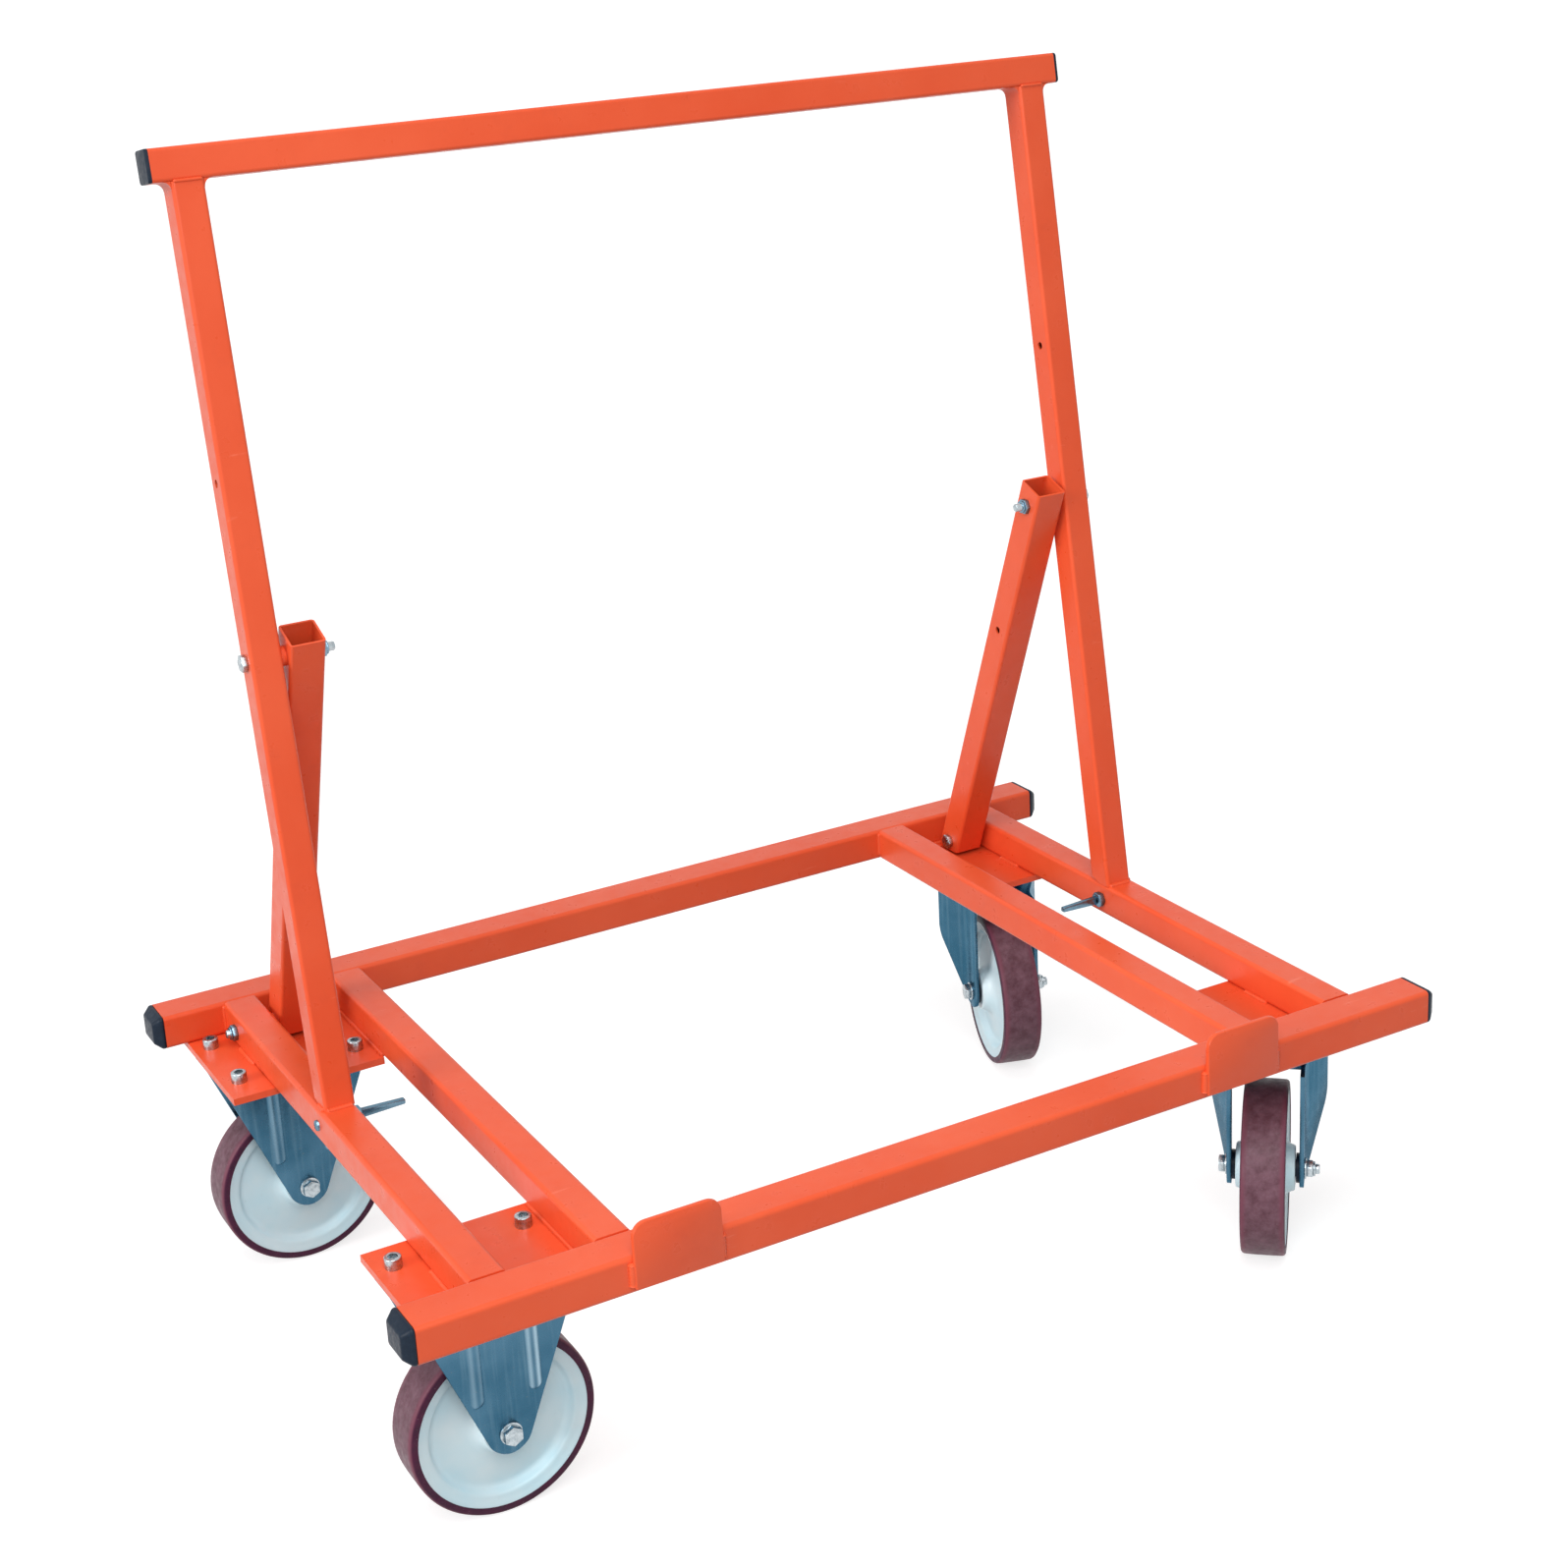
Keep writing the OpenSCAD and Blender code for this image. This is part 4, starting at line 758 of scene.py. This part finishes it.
def swivel_head():
    """The pressed round head over the fork, with a rolled lip."""
    lip = [(r, SADDLE_BOTTOM + z) for r, z in LIP_PROFILE]
    hole = [(KING_PIN_HOLE_R, SADDLE_BOTTOM)]
    top = [(LIP_TOP_R, CROWN_TOP), (KING_PIN_HOLE_R, CROWN_TOP)]
    return lathe(hole + lip + top, HEAD_STEPS)


for end in ENDS:
    fork = bmesh.new()
    place = swivel_place(end)
    put(fork, swivel_leg(), place, place @ MIRROR_Y)
    put(fork, fork_saddle(), place)
    put(fork, swivel_head(), place)
    piece(f"{end}_right_flared_fork", fork, f"{end}_right_swivel", "blue_zinc", [f"{end}_right_fork"])


# Caster screws

def socket_screw():
    """Round head with a hexagon socket, and its shank below."""
    bm = bmesh.new()
    top = moved(z=SCREW_HEAD)
    bmesh.ops.create_circle(bm, cap_ends=False, segments=SHANK_STEPS, radius=SCREW_HEAD_R, matrix=top)
    socket_r = SOCKET_HALF_FLATS / cos(pi / 6)
    bmesh.ops.create_circle(bm, cap_ends=False, segments=6, radius=socket_r, matrix=top)
    rim, socket = bm.edges[:SHANK_STEPS], bm.edges[SHANK_STEPS:]
    bmesh.ops.bridge_loops(bm, edges=rim + socket)
    for ring, drop in ((rim, SCREW_HEAD), (socket, SOCKET_DEPTH)):
        made = bmesh.ops.extrude_edge_only(bm, edges=ring)
        bmesh.ops.translate(bm, verts=new_verts(made), vec=(0, 0, -drop))
        bmesh.ops.contextual_create(bm, geom=new_edges(made))
    tidy(bm)
    upper = [v for v in bm.verts if v.co.z > SCREW_HEAD - SLACK]
    outside = {v for v in upper if hypot(v.co.x, v.co.y) > SCREW_HEAD_R - SLACK}
    round_edges(bm, [e for e in bm.edges if outside.issuperset(e.verts)], SCREW_TOP_EDGE, 3)
    put(bm, disc(SCREW_R, SCREW_LENGTH, -SCREW_LENGTH, SCREW_STEPS, SCREW_TIP_EDGE))
    return bm


screw_places = [moved(x + i * SCREW_X, y * CASTER_Y + j * SCREW_Y, TUBE_BOTTOM)
                for x in (-FIXED_X, SWIVEL_X) for y in (-1, 1) for i in (-1, 1) for j in (-1, 1)]
screws = bmesh.new()
put(screws, socket_screw(), *screw_places)
piece("socket_head_screws", screws, "frame", "bright_zinc", ["caster_screws"])


# Strut bolts

def hex_bolt(length):
    """Bolt along Z: head below zero, shank up to a chamfered tip."""
    bm = bmesh.new()
    put(bm, hexagon(STRUT_FLATS, STRUT_HEAD, -STRUT_HEAD))
    put(bm, disc(STRUT_CROWN_R, BOLT_CROWN, -STRUT_HEAD - BOLT_CROWN_STAND, SHANK_STEPS, BOLT_CROWN_EDGE))
    put(bm, disc(STRUT_BOLT_R, length, 0, SHANK_STEPS, STRUT_TIP_EDGE))
    return bm


top_bolts, base_bolts, nuts = bmesh.new(), bmesh.new(), bmesh.new()
for side in (Matrix(), MIRROR_X):
    put(top_bolts, hex_bolt(TOP_BOLT_LENGTH), side @ along_x(-POST_OUT, TOP_BOLT_Y, TOP_BOLT_Z))
    put(base_bolts, hex_bolt(BASE_BOLT_LENGTH), side @ along_x(STRUT_IN, BASE_BOLT_Y, BASE_BOLT_Z))
    seats = (side @ along_x(-STRUT_IN, TOP_BOLT_Y, TOP_BOLT_Z),
             side @ along_x(OUTER_BAR_OUT, BASE_BOLT_Y, BASE_BOLT_Z))
    put(nuts, hexagon(STRUT_FLATS, STRUT_NUT), *seats)
    put(nuts, disc(STRUT_COLLAR_R, STRUT_COLLAR, STRUT_NUT, SHANK_STEPS, NUT_COLLAR_EDGE), *seats)
piece("strut_top_hex_bolts", top_bolts, "frame", "bright_zinc", ["strut_top_bolts"])
piece("strut_base_hex_bolts", base_bolts, "frame", "bright_zinc", ["strut_base_bolts"])
piece("strut_lock_nuts", nuts, "frame", "blue_zinc", ["strut_nuts"], rubbed=0.35)


# Foot pins

def foot_pin():
    """Right hand pin along -X from the crossbar: tip, hexagon collar and tapered flat handle."""
    bm = bmesh.new()
    start = OUTER_BAR_IN - PIN_GAP - PIN_COLLAR
    end = OUTER_BAR_IN - HANDLE_REACH
    put(bm, disc(PIN_R, OUTER_BAR_OUT + PIN_TIP - start, 0, PIN_STEPS, PIN_TIP_EDGE), along_x(start, 0, 0))
    put(bm, hexagon(PIN_COLLAR_FLATS, PIN_COLLAR, 0, BIG_HEX_EDGE), along_x(start, 0, 0))
    corners = [(start, -HANDLE_ROOT_HALF), (start, HANDLE_ROOT_HALF), (end, HANDLE_END_HALF),
               (end, -HANDLE_END_HALF)]
    handle = sheet(corners, HANDLE_THICK, [(2, HANDLE_END_ROUND), (3, HANDLE_END_ROUND)], 4, PLATE_SHEET_EDGE)
    put(bm, handle, moved(y=HANDLE_THICK / 2) @ turned(pi / 2, "X"))
    return bm


for name, flip in (("right", Matrix()), ("left", MIRROR_X)):
    pin = bmesh.new()
    put(pin, foot_pin(), flip @ moved(0, PIN_Y, PIN_Z))
    piece(f"{name}_pull_pin", pin, f"{name}_pin", "blue_zinc", [f"{name}_foot_pin"], rubbed=0.22)


# Caps in the ends of the rails and of the top bar

def rail_cap():
    """A cap along Z: straight land, then a face that is drawn in all round, and a plug behind."""
    wide, high = RAIL_WIDTH / 2, TUBE_HEIGHT / 2
    bm = sheet(oblong(wide, -high, high), CAP_LAND, [(n, TUBE_CORNER) for n in range(4)], 6, 0)
    front = [f for f in bm.faces if f.normal.z > 0.9]
    grown = new_verts(bmesh.ops.extrude_face_region(bm, geom=front))
    bmesh.ops.delete(bm, geom=[f for f in front if f.is_valid], context="FACES_ONLY")
    bmesh.ops.translate(bm, verts=grown, vec=(0, 0, CAP_FACE))
    bmesh.ops.scale(bm, verts=grown, vec=((wide - CAP_DRAW) / wide, (high - CAP_DRAW) / high, 1))
    tidy(bm)
    soften(bm, CAP_EDGE, 3, CAP_EDGE_ANGLE)
    plug = rounded_bar(PLUG_LENGTH, RAIL_WIDTH - RAIL_PLUG_ROOM, TUBE_HEIGHT - RAIL_PLUG_ROOM, PLUG_CORNER,
                       PLUG_EDGE)
    put(bm, plug, turned(pi / 2, "Y") @ turned(pi / 2, "X"))
    return bm


caps = bmesh.new()
end_on = turned(pi / 2, "Z") @ turned(pi / 2, "X")
for y in (-1, 1):
    spot = moved(HALF_LENGTH, y * (HALF_DEPTH - RAIL_WIDTH / 2), DECK - TUBE_HEIGHT / 2) @ end_on
    put(caps, rail_cap(), spot, MIRROR_X @ spot)
piece("rail_end_caps", caps, "frame", "black_plastic", ["rail_caps"])

back_frame = moved(0, POST_FOOT_Y, DECK) @ turned(-LEAN, "X")
bar_end = back_frame @ moved(TOP_BAR_END, 0, POST_LENGTH + POST_HALF)
bar_inside = bar_end @ moved(-PLUG_LENGTH)
plug_side = 2 * POST_HALF - TOP_PLUG_ROOM
plugs = bmesh.new()
put(plugs, rounded_bar(TOP_CAP, 2 * POST_HALF, 2 * POST_HALF, TOP_CAP_CORNER, TOP_CAP_EDGE),
    bar_end, MIRROR_X @ bar_end)
put(plugs, rounded_bar(PLUG_LENGTH, plug_side, plug_side, PLUG_CORNER, PLUG_EDGE),
    bar_inside, MIRROR_X @ bar_inside)
piece("top_bar_plugs", plugs, "frame", "black_plastic", ["top_bar_caps"])


# Sheet stops

STOP_ROUNDS = [(0, STOP_FOOT_ROUND), (1, STOP_FOOT_ROUND), (2, STOP_TOP_ROUND), (3, STOP_TOP_ROUND)]
for name, side in (("left", -1), ("right", 1)):
    stop = bmesh.new()
    shape = sheet(oblong(STOP_HALF, -STOP_DROP, STOP_RISE), STOP_THICK, STOP_ROUNDS, 10, STOP_EDGE)
    put(stop, shape, moved(side * STOP_X, -HALF_DEPTH, DECK) @ turned(pi / 2, "X"))
    piece(f"{name}_stop_plate", stop, "frame", "orange_paint", [f"{name}_sheet_stop"])


# Weld beads, painted over

def stop_beads(beads, mirror):
    """Up both edges of a stop."""
    for x in (STOP_X - STOP_HALF, STOP_X + STOP_HALF):
        low = (x, -HALF_DEPTH, DECK - STOP_DROP + STOP_BEAD_LOW)
        put(beads, weld(low, (x, -HALF_DEPTH, DECK - STOP_BEAD_TOP), STOP_BEAD), mirror)


def crossbar_beads(beads, mirror):
    """Up the sides of the crossbars where they meet the rails."""
    for bar in (OUTER_BAR_IN + BAR_HALF, INNER_BAR_X):
        for x in (bar - BAR_HALF, bar + BAR_HALF):
            for y in (-RAIL_INSIDE, RAIL_INSIDE):
                low, top = TUBE_BOTTOM + BAR_BEAD_LOW, DECK - BAR_BEAD_TOP
                put(beads, weld((x, y, low), (x, y, top), BAR_BEAD), mirror)


def post_beads(beads, mirror):
    """Round the front of a post's foot, and fillets and beads at its head."""
    foot = mirror @ moved(POST_X, POST_FOOT_Y, DECK)
    front = -POST_HALF / cos(LEAN)
    ends = (-POST_HALF + FOOT_BEAD_START, front, 0), (POST_HALF - FOOT_BEAD_END, front, 0)
    put(beads, weld(*ends, FOOT_BEAD), foot)
    ends = (POST_HALF, front + FOOT_BEAD_START, 0), (POST_HALF, FOOT_BEAD_PAST_MIDDLE, 0)
    put(beads, weld(*ends, FOOT_BEAD), foot)
    head = mirror @ back_frame @ moved(POST_X, 0, POST_LENGTH)
    side = moved(x=POST_HALF)
    fillet = weld_fillet(HEAD_FILLET, 2 * POST_HALF - HEAD_FILLET_SHORT)
    put(beads, fillet, head @ side, head @ MIRROR_X @ side)
    reach = POST_HALF - HEAD_BEAD_SHORT
    for y in (-POST_HALF, POST_HALF):
        put(beads, weld((-reach, y, 0), (reach, y, 0), HEAD_BEAD), head)


def plate_beads(beads, mirror):
    """Along the crossbars and the rails over the caster plates."""
    for y in (-1, 1):
        for x, ends in ((OUTER_BAR_OUT, OUTSIDE_BEAD_Y), (OUTER_BAR_IN, INSIDE_BEAD_Y)):
            start, end = ((x, y * place, TUBE_BOTTOM) for place in ends)
            put(beads, weld(start, end, PLATE_BEAD), mirror)
        start, end = ((x, y * RAIL_INSIDE, TUBE_BOTTOM) for x in RAIL_BEAD_X)
        put(beads, weld(start, end, PLATE_BEAD), mirror)


def left_plate_edge_beads(beads):
    """Between the inner edge of each left plate and the crossbar's round corner."""
    z = TUBE_BOTTOM + EDGE_BEAD_UP
    for y in (-1, 1):
        put(beads, weld((-PLATE_EDGE, y * PLATE_NEAR_Y, z), (-PLATE_EDGE, y * RAIL_INSIDE, z), EDGE_BEAD))


beads = bmesh.new()
for mirror in (Matrix(), MIRROR_X):
    stop_beads(beads, mirror)
    crossbar_beads(beads, mirror)
    post_beads(beads, mirror)
    plate_beads(beads, mirror)
left_plate_edge_beads(beads)
piece("painted_weld_beads", beads, "frame", "orange_paint", sharp=60)


# Stage and light

FLOOR_HALF, FLOOR_GREY = 60, (0.45, 0.45, 0.45, 1)
WHITE = (1, 1, 1, 1)
# What the camera sees of the floor is lifted to white; the light on the cart stays as it is
FLOOR_LIFT = 0.74
SKY_LIGHT, SKY_SEEN = 0.36, 1.0


def seen_directly(add, link, low, high):
    """One strength for the light that falls on the cart, another for what camera and reflections see."""
    path = add("ShaderNodeLightPath")
    known = path.outputs["Is Camera Ray"]
    for ray in ("Is Glossy Ray", "Is Transmission Ray"):
        either = add("ShaderNodeMath", operation="MAXIMUM")
        link(known, either.inputs[0])
        link(path.outputs[ray], either.inputs[1])
        known = either.outputs[0]
    return band(add, link, known, 0.0, 1.0, low, high)


def floor_finish():
    """Pale matt floor that shows white around a soft shadow."""
    mat, shader, _, add, link = finish_named("pale studio floor")
    shader.inputs["Base Color"].default_value = FLOOR_GREY
    shader.inputs["Roughness"].default_value = 0.9
    shader.inputs["Specular IOR Level"].default_value = 0.1
    shader.inputs["Emission Color"].default_value = WHITE
    link(seen_directly(add, link, 0.0, FLOOR_LIFT), shader.inputs["Emission Strength"])
    return mat


floor_mesh = bpy.data.meshes.new("studio_floor")
floor_shape = bmesh.new()
bmesh.ops.create_grid(floor_shape, x_segments=1, y_segments=1, size=FLOOR_HALF)
floor_shape.to_mesh(floor_mesh)
floor_shape.free()
floor_mesh.materials.append(floor_finish())
floor = bpy.data.objects.new("studio_floor", floor_mesh)
bpy.context.collection.objects.link(floor)

world = bpy.data.worlds.new("studio")
bpy.context.scene.world = world
world.use_nodes = True
sky = world.node_tree.nodes["Background"]
sky.inputs["Color"].default_value = WHITE
sky_link = world.node_tree.links.new
sky_link(seen_directly(node_maker(world.node_tree), sky_link, SKY_LIGHT, SKY_SEEN), sky.inputs["Strength"])


def lamp_object(lamp, direction):
    """Puts a lamp in the scene, pointed along a direction."""
    thing = bpy.data.objects.new(lamp.name, lamp)
    thing.rotation_mode = "QUATERNION"
    thing.rotation_quaternion = Vector(direction).to_track_quat("-Z", "Y")
    bpy.context.collection.objects.link(thing)
    return thing


def sun(name, direction, strength, softness):
    lamp = bpy.data.lights.new(name, "SUN")
    lamp.energy = strength
    lamp.angle = radians(softness)
    lamp_object(lamp, direction)


def softbox(name, place, target, width, power):
    """A large square lamp that shows in the paint but not to the camera."""
    lamp = bpy.data.lights.new(name, "AREA")
    lamp.shape = "SQUARE"
    lamp.size = width
    lamp.energy = power
    thing = lamp_object(lamp, Vector(target) - Vector(place))
    thing.location = place
    thing.visible_camera = False


sun("key", direction=(0.15, 0.22, -1.0), strength=0.75, softness=25)
sun("side", direction=(1.0, 0.1, -0.42), strength=1.7, softness=30)
softbox("front_softbox", place=(-1.0, -1.9, 2.3), target=(-0.05, 0.1, 0.9), width=1.6, power=36)


# Camera: the way it faces, where it stands, and its lens

RIGHT = Vector((0.869447, -0.491383, -0.051041))
DOWN = Vector((-0.191256, -0.239532, -0.951864))
AHEAD = Vector((0.455504, 0.837357, -0.30224))
EYE = Vector((-1.2795, -2.4209, 1.59677))
LENS, SENSOR, FAR = 59.538, 36, 200
PICTURE_SIDE, PICTURE_SHIFT = 1596, -140.27

lens = bpy.data.cameras.new("photo_camera")
lens.sensor_width = SENSOR
lens.lens = LENS
lens.shift_y = PICTURE_SHIFT / PICTURE_SIDE
lens.clip_end = FAR
camera = bpy.data.objects.new("photo_camera", lens)
camera.matrix_world = Matrix((
    (*RIGHT, 0),
    (*-DOWN, 0),
    (*-AHEAD, 0),
    (*EYE, 1))).transposed()
bpy.context.collection.objects.link(camera)
scene = bpy.context.scene
scene.camera = camera
scene.view_settings.view_transform = "Standard"
